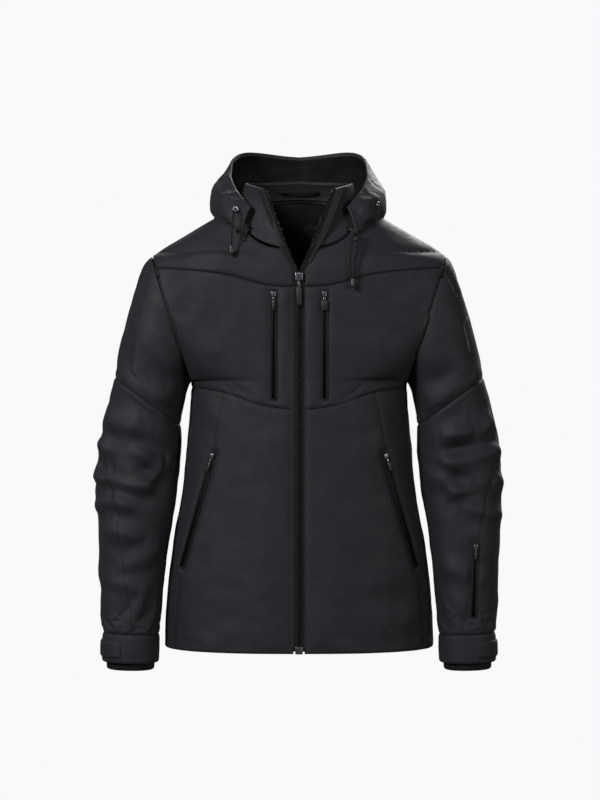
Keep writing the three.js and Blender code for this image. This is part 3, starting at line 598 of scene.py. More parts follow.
class Finish:
    """One procedural material and the nodes that it is made of."""

    def __init__(self, name, **constants):
        self.material = bpy.data.materials.new(name)
        self.material.use_nodes = True
        self.tree = self.material.node_tree
        self.shader = self.tree.nodes["Principled BSDF"]
        for socket, value in constants.items():
            self.shader.inputs[socket.replace("_", " ")].default_value = value

    def add(self, kind, settings=None, inputs=None, output=0):
        """Adds a node: settings first, then the values or links of its sockets."""
        node = self.tree.nodes.new(kind)
        for key, value in (settings or {}).items():
            setattr(node, key, value)
        for key, value in (inputs or {}).items():
            if isinstance(value, Wire):
                self.tree.links.new(value.socket, node.inputs[key])
            else:
                node.inputs[key].default_value = value
        return Wire(self, node.outputs[output])

    def place(self, which="Object"):
        return self.add("ShaderNodeTexCoord", output=which)

    def part(self, vector, axis):
        return self.add("ShaderNodeSeparateXYZ", inputs={0: vector}, output=axis)

    def attribute(self, name):
        return self.add("ShaderNodeAttribute", {"attribute_name": name}, output="Fac")

    def noise(self, scale, detail=3.0, roughness=0.5, vector=None):
        inputs = {"Scale": scale, "Detail": detail, "Roughness": roughness}
        inputs["Vector"] = vector or self.place()
        return self.add("ShaderNodeTexNoise", inputs=inputs, output="Fac")

    def mix(self, factor, first, second):
        """Mixes two colours."""
        node = self.tree.nodes.new("ShaderNodeMix")
        node.data_type = "RGBA"
        for socket, value in ((node.inputs[0], factor), (node.inputs[6], first), (node.inputs[7], second)):
            if isinstance(value, Wire):
                self.tree.links.new(value.socket, socket)
            else:
                socket.default_value = value
        return Wire(self, node.outputs[2])

    def bump(self, height, distance, strength=1.0, normal=None):
        inputs = {"Height": height, "Distance": distance, "Strength": strength}
        if normal:
            inputs["Normal"] = normal
        return self.add("ShaderNodeBump", inputs=inputs, output="Normal")

    def feed(self, **sockets):
        for name, wire in sockets.items():
            self.tree.links.new(wire.socket, self.shader.inputs[name.replace("_", " ")])
        return self.material


def shade(colour, factor):
    return (*(channel * factor for channel in colour), 1.0)


def shell_finish():
    """Matte softshell: fine twill, faint mottling, painted shade darkening the creases at the seams, and small
    puckers beside them.
    """
    finish = Finish("shell_softshell", Sheen_Weight=0.02, Sheen_Roughness=0.5, IOR=1.34)
    colour = tuple(colours().shell)
    edge = finish.attribute("edge_distance")
    line = abs(finish.attribute("line_distance"))
    # Painted shade: the colour darkens to 0.22 of the shell in the sunken seams and along the drawn seam lines.
    painted_seam_shade = edge.ramp(0.0003, 0.0016, 1.0, 0.0)
    painted_seam_shade = finish.add("ShaderNodeMath", {"operation": "MAXIMUM"}, {0: painted_seam_shade, 1: line.ramp(0.0004, 0.0016, 1, 0)})
    near = edge.ramp(0.002, 0.022, 1.0, 0.0)
    near = finish.add("ShaderNodeMath", {"operation": "MAXIMUM"}, {0: near, 1: line.ramp(0.002, 0.014, 0.7, 0)})
    mottle = finish.noise(9.0, 4.0, 0.6)
    fibre = finish.noise(900.0, 2.0, 0.6)
    base = finish.mix(mottle, shade(colour, 0.86), shade(colour, 1.14))
    base = finish.mix(fibre * 0.5, base, shade(colour, 1.32))
    base = finish.mix(painted_seam_shade * 0.85, base, shade(colour, 0.22))
    cloth = finish.place("UV")
    along, across = finish.part(cloth, "X"), finish.part(cloth, "Y")
    twill = ((along + across) * 5200.0).sine() * ((along - across) * 2600.0).sine()
    weave = finish.bump(twill, 0.00005, 0.5)
    grain = finish.bump(finish.noise(420.0, 3.0, 0.65), 0.0002, 0.5, weave)
    stretched = finish.add("ShaderNodeMapping", inputs={"Vector": finish.place(), "Scale": (1.0, 1.0, 1.0)})
    pucker = finish.noise(75.0, 2.0, 0.5, stretched) * near
    puckered = finish.bump(pucker, 0.0018, 0.5, grain)
    drape = finish.bump(finish.noise(11.0, 2.0, 0.45), 0.004, 0.35, puckered)
    rough = finish.noise(30.0, 3.0).ramp(0.2, 0.8, 0.66, 0.78)
    return finish.feed(Base_Color=base, Roughness=rough, Normal=drape)


def lining_finish():
    """Smooth dark taffeta with a fine grid and soft creases."""
    finish = Finish("lining_taffeta", IOR=1.3)
    colour = tuple(colours().lining)
    base = finish.mix(finish.noise(14.0, 4.0), shade(colour, 0.8), shade(colour, 1.35))
    cloth = finish.place()
    grid = (finish.part(cloth, "X") * 4200.0).sine() * (finish.part(cloth, "Z") * 4200.0).sine()
    woven = finish.bump(grid, 0.00006, 0.6)
    creased = finish.bump(finish.noise(26.0, 3.0, 0.5), 0.003, 0.5, woven)
    rough = finish.noise(40.0).ramp(0.3, 0.7, 0.64, 0.76)
    return finish.feed(Base_Color=base, Roughness=rough, Normal=creased)


def tape_finish():
    """Woven zip tape: a herringbone in narrow bands."""
    finish = Finish("zip_tape_weave", IOR=1.25)
    colour = tuple(colours().zip_black)
    cloth = finish.place()
    x, z = finish.part(cloth, "X"), finish.part(cloth, "Z")
    bands = (x * 3100.0).sine()
    herringbone = ((z + abs(bands) * 0.0006) * 5200.0).sine()
    # The colour follows the herringbone relief: painted shade in its hollows, painted light on its ridges.
    base = finish.mix(herringbone.ramp(-1, 1), shade(colour, 0.7), shade(colour, 1.7))
    woven = finish.bump(herringbone, 0.00012, 0.7)
    return finish.feed(Base_Color=base, Roughness=finish.noise(300.0).ramp(0.3, 0.7, 0.55, 0.75), Normal=woven)


def metal_finish(name, factor, roughness):
    """Dark plated metal, worn a little brighter in patches, with fine scratches."""
    finish = Finish(name, Metallic=0.95)
    colour = tuple(colours().metal)
    wear = finish.noise(160.0, 5.0, 0.7).ramp(0.52, 0.75)
    base = finish.mix(wear, shade(colour, factor), shade(colour, factor * 2.2))
    scratch = finish.bump(finish.noise(1500.0, 2.0), 0.00004, 0.6)
    rough = finish.noise(500.0, 3.0).ramp(0.3, 0.7, roughness, roughness + 0.16)
    return finish.feed(Base_Color=base, Roughness=rough, Normal=scratch)


def moulded_finish():
    """Matte moulded rubber with a spark-eroded grain."""
    finish = Finish("moulded_rubber", IOR=1.5)
    colour = tuple(colours().moulded)
    base = finish.mix(finish.noise(60.0, 4.0), shade(colour, 0.75), shade(colour, 1.5))
    grain = finish.bump(finish.noise(1400.0, 3.0, 0.6), 0.00012, 0.6)
    return finish.feed(Base_Color=base, Roughness=finish.noise(220.0).ramp(0.3, 0.7, 0.36, 0.52), Normal=grain)


def cord_finish():
    """Round braid: two sets of strands that cross."""
    finish = Finish("cord_braid", IOR=1.3)
    colour = tuple(colours().lining)
    cloth = finish.place("UV")
    along, around = finish.part(cloth, "X"), finish.part(cloth, "Y")
    turns = around * (16 * math.pi)
    run = along * 190.0
    strands = (turns + run).sine() * (turns - run).sine()
    # The colour follows the strands' relief: painted shade between the strands, painted light on their crowns.
    base = finish.mix(strands.ramp(-1, 1), shade(colour, 0.6), shade(colour, 1.6))
    raised = finish.bump(strands, 0.0002, 0.8)
    return finish.feed(Base_Color=base, Roughness=finish.noise(200.0).ramp(0.3, 0.7, 0.6, 0.78), Normal=raised)


def knit_finish():
    """Ribbed stretch knit of the storm cuffs."""
    finish = Finish("cuff_knit", IOR=1.3)
    colour = tuple(colours().lining)
    cloth = finish.place("UV")
    ribs = (finish.part(cloth, "X") * 1700.0).sine()
    # The colour follows the rib relief: painted shade in the grooves, painted light on the crests.
    base = finish.mix(ribs.ramp(-1, 1), shade(colour, 0.5), shade(colour, 1.4))
    raised = finish.bump(ribs, 0.0006, 0.8)
    return finish.feed(Base_Color=base, Roughness=finish.noise(90.0).ramp(0.3, 0.7, 0.7, 0.85), Normal=raised)


def badge_finish():
    """Rubber patch; it carries no mark."""
    finish = Finish("badge_rubber", IOR=1.5)
    colour = tuple(colours().moulded)
    base = finish.mix(finish.noise(90.0, 3.0), shade(colour, 0.9), shade(colour, 1.6))
    grain = finish.bump(finish.noise(1100.0, 3.0), 0.0001, 0.5)
    return finish.feed(Base_Color=base, Roughness=finish.noise(150.0).ramp(0.3, 0.7, 0.45, 0.6), Normal=grain)


MAKERS = {
    "shell": shell_finish,
    "lining": lining_finish,
    "tape": tape_finish,
    "teeth": lambda: metal_finish("zip_teeth_metal", 0.22, 0.34),
    "coil": lambda: metal_finish("zip_coil_nylon", 0.07, 0.42),
    "metal": lambda: metal_finish("slider_metal", 1.5, 0.22),
    "moulded": moulded_finish,
    "cord": cord_finish,
    "knit": knit_finish,
    "badge": badge_finish,
}
MADE = {}


def finish_of(name):
    if name not in MADE:
        MADE[name] = MAKERS[name]()
    return MADE[name]


# Mesh helpers


def new_piece(name, bm, finishes, keep_normals=False):
    """Turns a bmesh, in metres, into a smooth-shaded object at the origin."""
    if not keep_normals:
        bmesh.ops.recalc_face_normals(bm, faces=bm.faces)
    mesh = bpy.data.meshes.new(name)
    bm.to_mesh(mesh)
    bm.free()
    for finish in finishes:
        mesh.materials.append(finish_of(finish))
    mesh.shade_smooth()
    piece = bpy.data.objects.new(name, mesh)
    bpy.context.scene.collection.objects.link(piece)
    return piece


def settle(piece, angle=48):
    """Applies the piece's modifiers and marks its sharp edges."""
    bpy.context.view_layer.update()
    graph = bpy.context.evaluated_depsgraph_get()
    mesh = bpy.data.meshes.new_from_object(piece.evaluated_get(graph), preserve_all_data_layers=True, depsgraph=graph)
    piece.modifiers.clear()
    piece.data = mesh
    mesh.set_sharp_from_angle(angle=math.radians(angle))
    return piece


def finish_piece(piece, body, replaced):
    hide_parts(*replaced)
    if isinstance(body, str):
        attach(piece, body)
    return piece


FOLDS = []


def fold(a, b, width, height, hands=(-1, 1)):
    """A soft ridge (height above 0) or crease (below 0) from a to b, in millimetres, on the given sides."""
    for sign in hands:
        ends = [np.array([sign * p[0], p[1], p[2]], float) for p in (a, b)]
        FOLDS.append((*ends, width, height))


def fold_height(points):
    """How far the cloth stands out at each point because of the folds."""
    total = np.zeros(len(points))
    warp = np.array([noise.noise_vector(Vector(p) * 0.017) for p in points])
    warped = points + warp * 9
    for a, b, width, height in FOLDS:
        run = b - a
        t = np.clip((warped - a) @ run / (run @ run), 0, 1)
        away = np.linalg.norm(warped - a - t[:, None] * run, axis=1) / width
        taper = np.sin(np.pi * np.clip(0.08 + 0.84 * t, 0, 1)) ** 0.7
        total += height * taper * (np.exp(-(away**2)) - 0.35 * np.exp(-((away - 1.7) ** 2)))
    return total


def ripple(points, scale, height):
    """Low, uneven undulation of the cloth."""
    raw = [noise.fractal(Vector(p) * scale, 0.6, 2.2, 3) for p in points]
    return height * np.array(raw)


def cluster(t, amount):
    return t - amount * np.sin(2 * math.pi * t) / (2 * math.pi)


def grid_mesh(cells):
    """A flat grid, with its vertices listed by row and column and their fractions across it."""
    bm = bmesh.new()
    bmesh.ops.create_grid(bm, x_segments=cells[0], y_segments=cells[1], size=0.5)
    bm.verts.ensure_lookup_table()
    places = np.array([v.co for v in bm.verts])[:, :2] + 0.5
    column = np.rint(places[:, 0] * cells[0]).astype(int)
    row = np.rint(places[:, 1] * cells[1]).astype(int)
    order = np.empty((cells[1] + 1, cells[0] + 1), int)
    order[row, column] = np.arange(len(places))
    return bm, order


def running_length(points, axis):
    step = np.linalg.norm(np.diff(points, axis=axis), axis=-1)
    pad = [(0, 0), (0, 0)]
    pad[axis] = (1, 0)
    return np.pad(np.cumsum(step, axis=axis), pad)


def normals_of(points, outward, wrapped):
    """Outward normals of a grid of points."""
    if wrapped:
        ring = points[:, :-1]
        around = np.roll(ring, -1, axis=1) - np.roll(ring, 1, axis=1)
        around = np.concatenate([around, around[:, :1]], axis=1)
    else:
        around = np.gradient(points, axis=1)
    return unit(np.cross(around, np.gradient(points, axis=0))) * outward


def spline_weights(at, count, wrapped):
    """Weights of evenly spaced samples at fractions of a row: a cubic curve through the samples."""
    x = np.asarray(at) * (count - 1)
    i = np.clip(np.floor(x).astype(int), 0, count - 2)
    t = x - i
    shares = (
        (-t + 2 * t**2 - t**3) / 2,
        (2 - 5 * t**2 + 3 * t**3) / 2,
        (t + 4 * t**2 - 3 * t**3) / 2,
        (-(t**2) + t**3) / 2,
    )
    weights = np.zeros((len(x), count))
    for offset, share in zip((-1, 0, 1, 2), shares):
        column = (i + offset) % (count - 1) if wrapped else np.clip(i + offset, 0, count - 1)
        np.add.at(weights, (np.arange(len(x)), column), share)
    return weights


CLOTH_FRAMES = 22


def buckled(surface, cells, outward, wrapped, drape):
    """Lets a coarse copy of a piece, cut a little larger than its place, buckle under pressure and gravity
    with its edges held. Returns how far each point of the copy moved, in millimetres."""
    bm, order = grid_mesh(cells)
    rows, columns = order.shape
    uu, vv = np.meshgrid(np.linspace(0, 1, columns), np.linspace(0, 1, rows))
    points = surface(uu.ravel(), vv.ravel()).reshape(rows, columns, 3)
    start = points.reshape(-1, 3)
    start_height = fold_height(start) * 0.5 + ripple(start, 0.02, 1.0)
    normals = normals_of(points, outward, wrapped)
    write_grid(bm, order, points + normals * start_height.reshape(rows, columns)[..., None])
    index = bm.verts.layers.int.new("place")
    for place, vertex in enumerate(order.ravel()):
        bm.verts[vertex][index] = place
    if outward < 0:
        bmesh.ops.reverse_faces(bm, faces=bm.faces)
    if wrapped:
        bmesh.ops.remove_doubles(bm, verts=bm.verts, dist=0.05 * MM)
    places = np.array([vertex[index] for vertex in bm.verts])
    mesh = bpy.data.meshes.new("draping")
    bm.to_mesh(mesh)
    bm.free()
    dummy = bpy.data.objects.new("draping", mesh)
    bpy.context.scene.collection.objects.link(dummy)
    held = dummy.vertex_groups.new(name="held")
    row, column = places // columns, places % columns
    pinned = (row == 0) | (row == rows - 1)
    if not wrapped:
        pinned |= (column == 0) | (column == columns - 1)
    held.add([int(k) for k in np.nonzero(pinned)[0]], 1.0, "REPLACE")
    modifier = dummy.modifiers.new("cloth", "CLOTH")
    settings = modifier.settings
    settings.quality = 6
    settings.mass = 0.25
    settings.air_damping = 3
    settings.tension_stiffness = settings.compression_stiffness = 18
    settings.shear_stiffness = 6
    settings.bending_stiffness = drape.get("bending", 1.2)
    loose = dummy.vertex_groups.new(name="loose")
    low, high = drape.get("loose", (0, 1))
    for k, level in enumerate(row / (rows - 1)):
        loose.add([k], float(smooth((level - low) / 0.12) * smooth((high - level) / 0.12)), "REPLACE")
    settings.vertex_group_shrink = "loose"
    settings.shrink_min = 0
    settings.shrink_max = -drape.get("slack", 0.05)
    settings.use_pressure = True
    settings.uniform_pressure_force = drape.get("pressure", 0.5)
    settings.vertex_group_mass = "held"
    settings.effector_weights.gravity = 0.25
    modifier.collision_settings.use_collision = False
    before = np.array([v.co for v in mesh.vertices])
    scene = bpy.context.scene
    for step in range(1, CLOTH_FRAMES + 1):
        scene.frame_set(step)
    graph = bpy.context.evaluated_depsgraph_get()
    after = np.array([v.co for v in dummy.evaluated_get(graph).data.vertices])
    moved = (after - before) / MM
    length = np.linalg.norm(moved, axis=1, keepdims=True)
    cap = drape.get("cap", 12)
    moved *= cap * np.tanh(length / cap) / np.maximum(length, 1e-6)
    field = np.zeros((rows * columns, 3))
    field[places] = moved
    field = field.reshape(rows, columns, 3)
    if wrapped:
        field[:, 0] += field[:, -1]
        field[:, -1] = field[:, 0]
    bpy.data.objects.remove(dummy)
    bpy.data.meshes.remove(mesh)
    scene.frame_set(1)
    return field


def edge_drop(distance, kind):
    """How far the cloth turns in at an edge, in millimetres: a sewn seam or a turned hem."""
    if kind == "seam":
        width, depth = sizes().seam_width / MM, sizes().seam_depth / MM
        return depth * np.exp(-((distance / width) ** 1.3))
    if kind == "hem":
        return 2.6 * (1 - np.sqrt(1 - (1 - np.clip(distance / 4.5, 0, 1)) ** 2))
    return 0 * distance


def cloth(name, surface, cells, outward, edges, options):
    """One padded cloth piece over surface(u, v).

    edges names its left, right, bottom and top edges: seam, hem or plain. options may hold wrapped, zips,
    lines, drape (how its cloth is simulated), calm (places where it lies flat), thickness, ripple, loft, rim, and outside or inside finishes."""
    wrapped = options.get("wrapped", False)
    bm, order = grid_mesh(cells)
    rows, columns = order.shape
    u = np.linspace(0, 1, columns) if wrapped else cluster(np.linspace(0, 1, columns), 0.75)
    v = cluster(np.linspace(0, 1, rows), 0.75)
    uu, vv = np.meshgrid(u, v)
    points = surface(uu.ravel(), vv.ravel()).reshape(rows, columns, 3)
    calm = np.ones(uu.shape)
    for middle, radius in options.get("calm", ()):
        away = np.linalg.norm(points - np.array(middle), axis=2) / radius
        calm *= 1 - np.exp(-(away**4))
    drape = options.get("drape")
    if drape:
        field = buckled(surface, drape["cells"], outward, wrapped, drape)
        by_row = spline_weights(v, field.shape[0], False)
        by_column = spline_weights(u, field.shape[1], wrapped)
        moved = np.einsum("jr,rck,ic->jik", by_row, field, by_column)
        points = points + moved * calm[..., None]
    normals = normals_of(points, outward, wrapped)
    across, along = running_length(points, 1), running_length(points, 0)
    distances = [across, across[:, -1:] - across, along, along[-1:] - along]
    sewn = [d for d, kind in zip(distances, edges) if kind == "seam"]
    edge = np.minimum.reduce(sewn) if sewn else np.full(across.shape, 99.0)
    rim = np.minimum.reduce([d for d, kind in zip(distances, edges) if kind != "free"] or [edge + 99])
    flat = points.reshape(-1, 3)
    height = fold_height(flat) + ripple(flat, 0.011, options.get("ripple", 1.4))
    height = height.reshape(rows, columns) * smooth(rim / 16 + 0.12) * calm
    height += options.get("loft", sizes().loft / MM) * (1 - np.exp(-rim / 16))
    for distance, kind in zip(distances, edges):
        height -= edge_drop(distance, kind)
    line = np.full(across.shape, 99.0)
    for curve in options.get("lines", ()):
        away = curve(points)
        line = np.where(np.abs(away) < np.abs(line), away, line)
    height -= 1.3 * np.exp(-((line / 4.0) ** 2))
    placed = points + normals * height[..., None]
    for zipper in options.get("zips", ()):
        placed = sink_for_zip(placed, zipper)
    write_grid(bm, order, placed)
    layer = bm.loops.layers.uv.new("UVMap")
    edge_layer = bm.verts.layers.float.new("edge_distance")
    line_layer = bm.verts.layers.float.new("line_distance")
    uv = {}
    for j in range(rows):
        for i in range(columns):
            vertex = bm.verts[order[j, i]]
            vertex[edge_layer] = edge[j, i] * MM
            vertex[line_layer] = line[j, i] * MM
            uv[vertex] = (across[j, i] * MM, along[j, i] * MM)
    for face in bm.faces:
        for loop in face.loops:
            loop[layer].uv = uv[loop.vert]
    if outward < 0:
        bmesh.ops.reverse_faces(bm, faces=bm.faces)
    if wrapped:
        bmesh.ops.remove_doubles(bm, verts=bm.verts, dist=0.02 * MM)
    piece = new_piece(name, bm, [options.get("outside", "shell"), options.get("inside", "lining")], True)
    solidify = piece.modifiers.new("thickness", "SOLIDIFY")
    solidify.thickness = options.get("thickness", sizes().cloth_thickness / MM) * MM
    solidify.offset = -1
    solidify.material_offset = 1
    solidify.material_offset_rim = options.get("rim", 0)
    return settle(piece)


def write_grid(bm, order, points):
    bm.verts.ensure_lookup_table()
    for index, point in zip(order.ravel(), points.reshape(-1, 3)):
        bm.verts[index].co = point * MM


def sink_for_zip(points, zipper):
    """Lays the cloth flat and a little deeper under a zip."""
    shape = points.shape
    flat = points.reshape(-1, 3)
    along, across, out = zipper.local(flat)
    inside = smooth(1 - (np.abs(across) - zipper.width * 0.62) / 9)
    ends = smooth((along + 9) / 9) * smooth((zipper.length + 9 - along) / 9)
    near = np.abs(out) < 30
    weight = inside * ends * near
    moved = flat + np.array(zipper.out) * ((-1.7 - out) * weight)[:, None]
    return moved.reshape(shape)


def upright_line(table, side, low, high):
    """Signed distance to a seam that runs down a surface; table holds its (height, x) places."""

    def curve(points):
        x, y, z = points[..., 0], points[..., 1], points[..., 2]
        shape = z.shape
        seam = through(table, z.ravel()).reshape(shape)
        lean = (through(table, z.ravel() + 2).reshape(shape) - seam) / 2
        away = (x - seam) / np.sqrt(1 + lean * lean)
        wrong_side = (y * side < -10) | (z < low) | (z > high)
        return np.where(wrong_side, 99.0, away)

    return curve


def plain_box(bm, size, matrix, bevel=0.0, segments=2):
    """A box with rounded edges; size and bevel are in millimetres."""
    made = bmesh.ops.create_cube(bm, size=1, matrix=Matrix.Diagonal((*(s * MM for s in size), 1)))["verts"]
    if bevel:
        edges = {edge for vertex in made for edge in vertex.link_edges}
        result = bmesh.ops.bevel(
            bm,
            geom=list(edges),
            offset=bevel * MM,
            segments=segments,
            profile=0.5,
            affect="EDGES",
            material=-1,
        )
        made = list({vertex for face in result["faces"] for vertex in face.verts} | {v for v in made if v.is_valid})
    bmesh.ops.transform(bm, matrix=matrix, verts=made)
    return made


def lathe(bm, profile, matrix, steps=32):
    """Spins a closed outline of (radius, height) points, in millimetres, round its own axis."""
    verts = [bm.verts.new((r * MM, 0, h * MM)) for r, h in profile]
    edges = [bm.edges.new((a, b)) for a, b in zip(verts, verts[1:] + verts[:1])]
    made = bmesh.ops.spin(
        bm,
        geom=verts + edges,
        cent=(0, 0, 0),
        axis=(0, 0, 1),
        angle=2 * math.pi,
        steps=steps,
        use_merge=True,
    )
    found = set(verts) | {g for g in made["geom_last"] if isinstance(g, bmesh.types.BMVert)}
    stack = list(found)
    while stack:
        for edge in stack.pop().link_edges:
            for vertex in edge.verts:
                if vertex not in found:
                    found.add(vertex)
                    stack.append(vertex)
    bmesh.ops.remove_doubles(bm, verts=list(found), dist=0.001 * MM)
    alive = [v for v in found if v.is_valid]
    bmesh.ops.transform(bm, matrix=matrix, verts=alive)
    return alive


# Folds that several pieces share: elbows, armpits, hem and hood

FRONT = -1


def set_folds():
    """Lays the folds out. Heights are in millimetres; the two sleeves fold differently."""
    FOLDS.clear()
    # Elbow, wearer's right sleeve
    for a, b, width, height in (
        ((328, -40, -392), (236, -78, -420), 13, 5.0),
        ((330, -36, -424), (228, -84, -442), 12, -4.2),
        ((334, -30, -444), (240, -86, -470), 13, 5.6),
        ((336, -30, -474), (246, -84, -492), 12, -4.0),
        ((330, -40, -500), (252, -84, -486), 14, 4.6),
        ((322, -60, -530), (246, -80, -548), 15, 3.6),
        ((330, -30, -350), (250, -86, -372), 17, 3.4),
        ((206, -50, -420), (262, -86, -455), 15, 3.6),
        ((214, -60, -560), (284, -90, -590), 16, 2.8),
        ((330, -20, -600), (262, -90, -628), 18, 2.4),
    ):
        fold(a, b, width * 0.9, height * 1.8, (-1,))
    # Elbow, wearer's left sleeve
    for a, b, width, height in (
        ((322, -46, -352), (232, -82, -378), 14, 4.4),
        ((328, -42, -378), (236, -84, -404), 12, -3.8),
        ((332, -36, -404), (226, -82, -430), 14, 5.2),
        ((334, -34, -436), (240, -86, -456), 12, -4.2),
        ((336, -30, -456), (236, -84, -484), 13, 4.8),
        ((332, -40, -510), (262, -86, -500), 15, 3.2),
        ((212, -54, -446), (266, -86, -470), 14, 3.2),
        ((226, -60, -590), (300, -90, -612), 18, 2.4),
    ):
        fold(a, b, width * 0.9, height * 1.8, (1,))
    # Upper arms: pulls from the shoulder and the armpit
    fold((262, -50, -170), (196, -80, -272), 18, 4.2)
    fold((284, -50, -235), (204, -84, -306), 16, -4.4)
    fold((300, -40, -280), (206, -80, -330), 17, 5.0)
    fold((246, -66, -130), (214, -88, -214), 17, 2.0)
    # Body: from the armpits across the chest, and down to the hem
    fold((172, -96, -250), (110, -122, -226), 19, 2.6)
    fold((176, -84, -286), (100, -124, -300), 20, -2.2)
    fold((178, -90, -320), (112, -126, -372), 20, 3.0)
    fold((180, -86, -352), (136, -118, -430), 18, -2.2)
    fold((130, -128, -620), (206, -90, -598), 22, 2.6, (1,))
    fold((96, -134, -652), (212, -88, -640), 20, -2.2, (1,))
    fold((110, -134, -684), (216, -84, -678), 18, 2.4, (1,))
    fold((120, -130, -640), (200, -92, -600), 24, 2.2, (-1,))
    fold((60, -136, -560), (48, -138, -706), 26, 1.8)
    fold((34, -130, -230), (44, -132, -330), 20, 1.4)
    # Shoulders under the hood
    fold((150, -74, -78), (96, -96, -120), 18, 1.8)
    fold((190, -60, -86), (150, -88, -128), 18, -1.4)
    # Back
    fold((176, 84, -280), (96, 128, -240), 20, 3.4)
    fold((178, 88, -316), (84, 126, -350), 22, -2.6)
    fold((180, 84, -372), (70, 124, -410), 24, 3.0)
    fold((60, 128, -470), (200, 84, -520), 26, -2.2)
    fold((50, 128, -600), (196, 90, -640), 26, 2.6)
    fold((206, 72, -300), (262, 86, -250), 18, 3.0)
    fold((206, 64, -360), (300, 76, -320), 17, -2.8)
    fold((214, 50, -420), (320, 62, -400), 16, 4.0)
    fold((222, 40, -470), (320, 52, -460), 16, -3.2)
    fold((226, 30, -520), (318, 44, -530), 18, 3.0)


# Pieces


BODY_DRAPE = {"cells": (26, 36), "slack": 0.015, "cap": 4, "pressure": 0.25, "bending": 1.5}


def build_fronts():
    """Front panels, chest panels and front yokes, with their pocket openings laid flat."""
    for hand, sign in HANDS:
        hand_zip, chest_zip = zip_line(hand + "_hand"), zip_line(hand + "_chest")
        upper_seam = upright_line([(-408, sign * 139), (-366, sign * 133), (-312, sign * 122)], 1 * FRONT, -404, -306)
        side_seam = upright_line([(-730, sign * 204), (-600, sign * 193)], 1 * FRONT, -740, -602)
        hem = [(0, -BODY_LENGTH), (1, -BODY_LENGTH)]
        lower = between(-1, sign, hem, CHEST_SEAM, front_start)
        edges = ("hem", "seam", "hem", "seam")
        options = {"zips": [hand_zip, zip_line("main")], "lines": [upper_seam, side_seam], "drape": BODY_DRAPE}
        piece = cloth("front_panel_shell_" + hand, lower, (92, 150), sign, edges, options)
        finish_piece(piece, "jacket_body", ["front_panel_" + hand])
        chest = between(-1, sign, CHEST_SEAM, YOKE_SEAM, front_start)
        options = {"zips": [chest_zip, zip_line("main")], "drape": BODY_DRAPE}
        piece = cloth("chest_panel_shell_" + hand, chest, (84, 84), sign, ("hem", "seam", "seam", "seam"), options)
        finish_piece(piece, "jacket_body", ["chest_panel_" + hand])
        top = yoke(-1, sign, YOKE_SEAM, neck_front, front_yoke_inner)
        piece = cloth("front_yoke_shell_" + hand, top, (92, 60), sign, ("hem", "seam", "seam", "seam"), {})
        finish_piece(piece, "jacket_body", ["front_yoke_" + hand])


def build_back():
    """Back panel and back yoke."""

    def lower(u, v):
        s = (2 * u - 1) * (1 - SIDE_MARGIN)
        low = np.full(u.shape, -BODY_LENGTH + SEAM_HALF)
        return body_point(1, s, lerp(low, through(BACK_SEAM, np.abs(s)) - SEAM_HALF, v))

    edges = ("seam", "seam", "hem", "seam")
    piece = cloth("back_panel_shell", lower, (150, 190), -1, edges, {"drape": {**BODY_DRAPE, "cells": (52, 56)}})
    finish_piece(piece, "jacket_body", ["back_panel"])
    half = yoke(1, 1, BACK_SEAM, neck_back, back_yoke_inner)

    def whole(u, v):
        point = half(np.abs(2 * u - 1), v)
        point[:, 0] *= np.where(u < 0.5, -1, 1)
        return point

    piece = cloth("back_yoke_shell", whole, (170, 70), -1, ("seam", "seam", "seam", "seam"), {})
    finish_piece(piece, "jacket_body", ["back_yoke"])


ARM_SPLIT = 0.72
SEWN_UNDER = 4.5
BADGE_STEP = 2 * math.pi / 24


def badge_surface(u, v):
    return arm_ring(UPPER_ARM, 1, lerp(3, 1, u) * BADGE_STEP, lerp(0.58, 0.42, v), -4.0)


def ring_middle(section, sign, t):
    """Middle of a sleeve's ring, in millimetres."""
    ends = (one(lambda a, s: arm_ring(section, sign, a, s), angle, t) for angle in (0, math.pi))
    return sum(ends, Vector()) / 2


def bend_sleeve(piece, way):
    """Bakes a sleeve's placement into its mesh; way is not used."""
    way = Vector(way).normalized()
    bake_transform(piece)


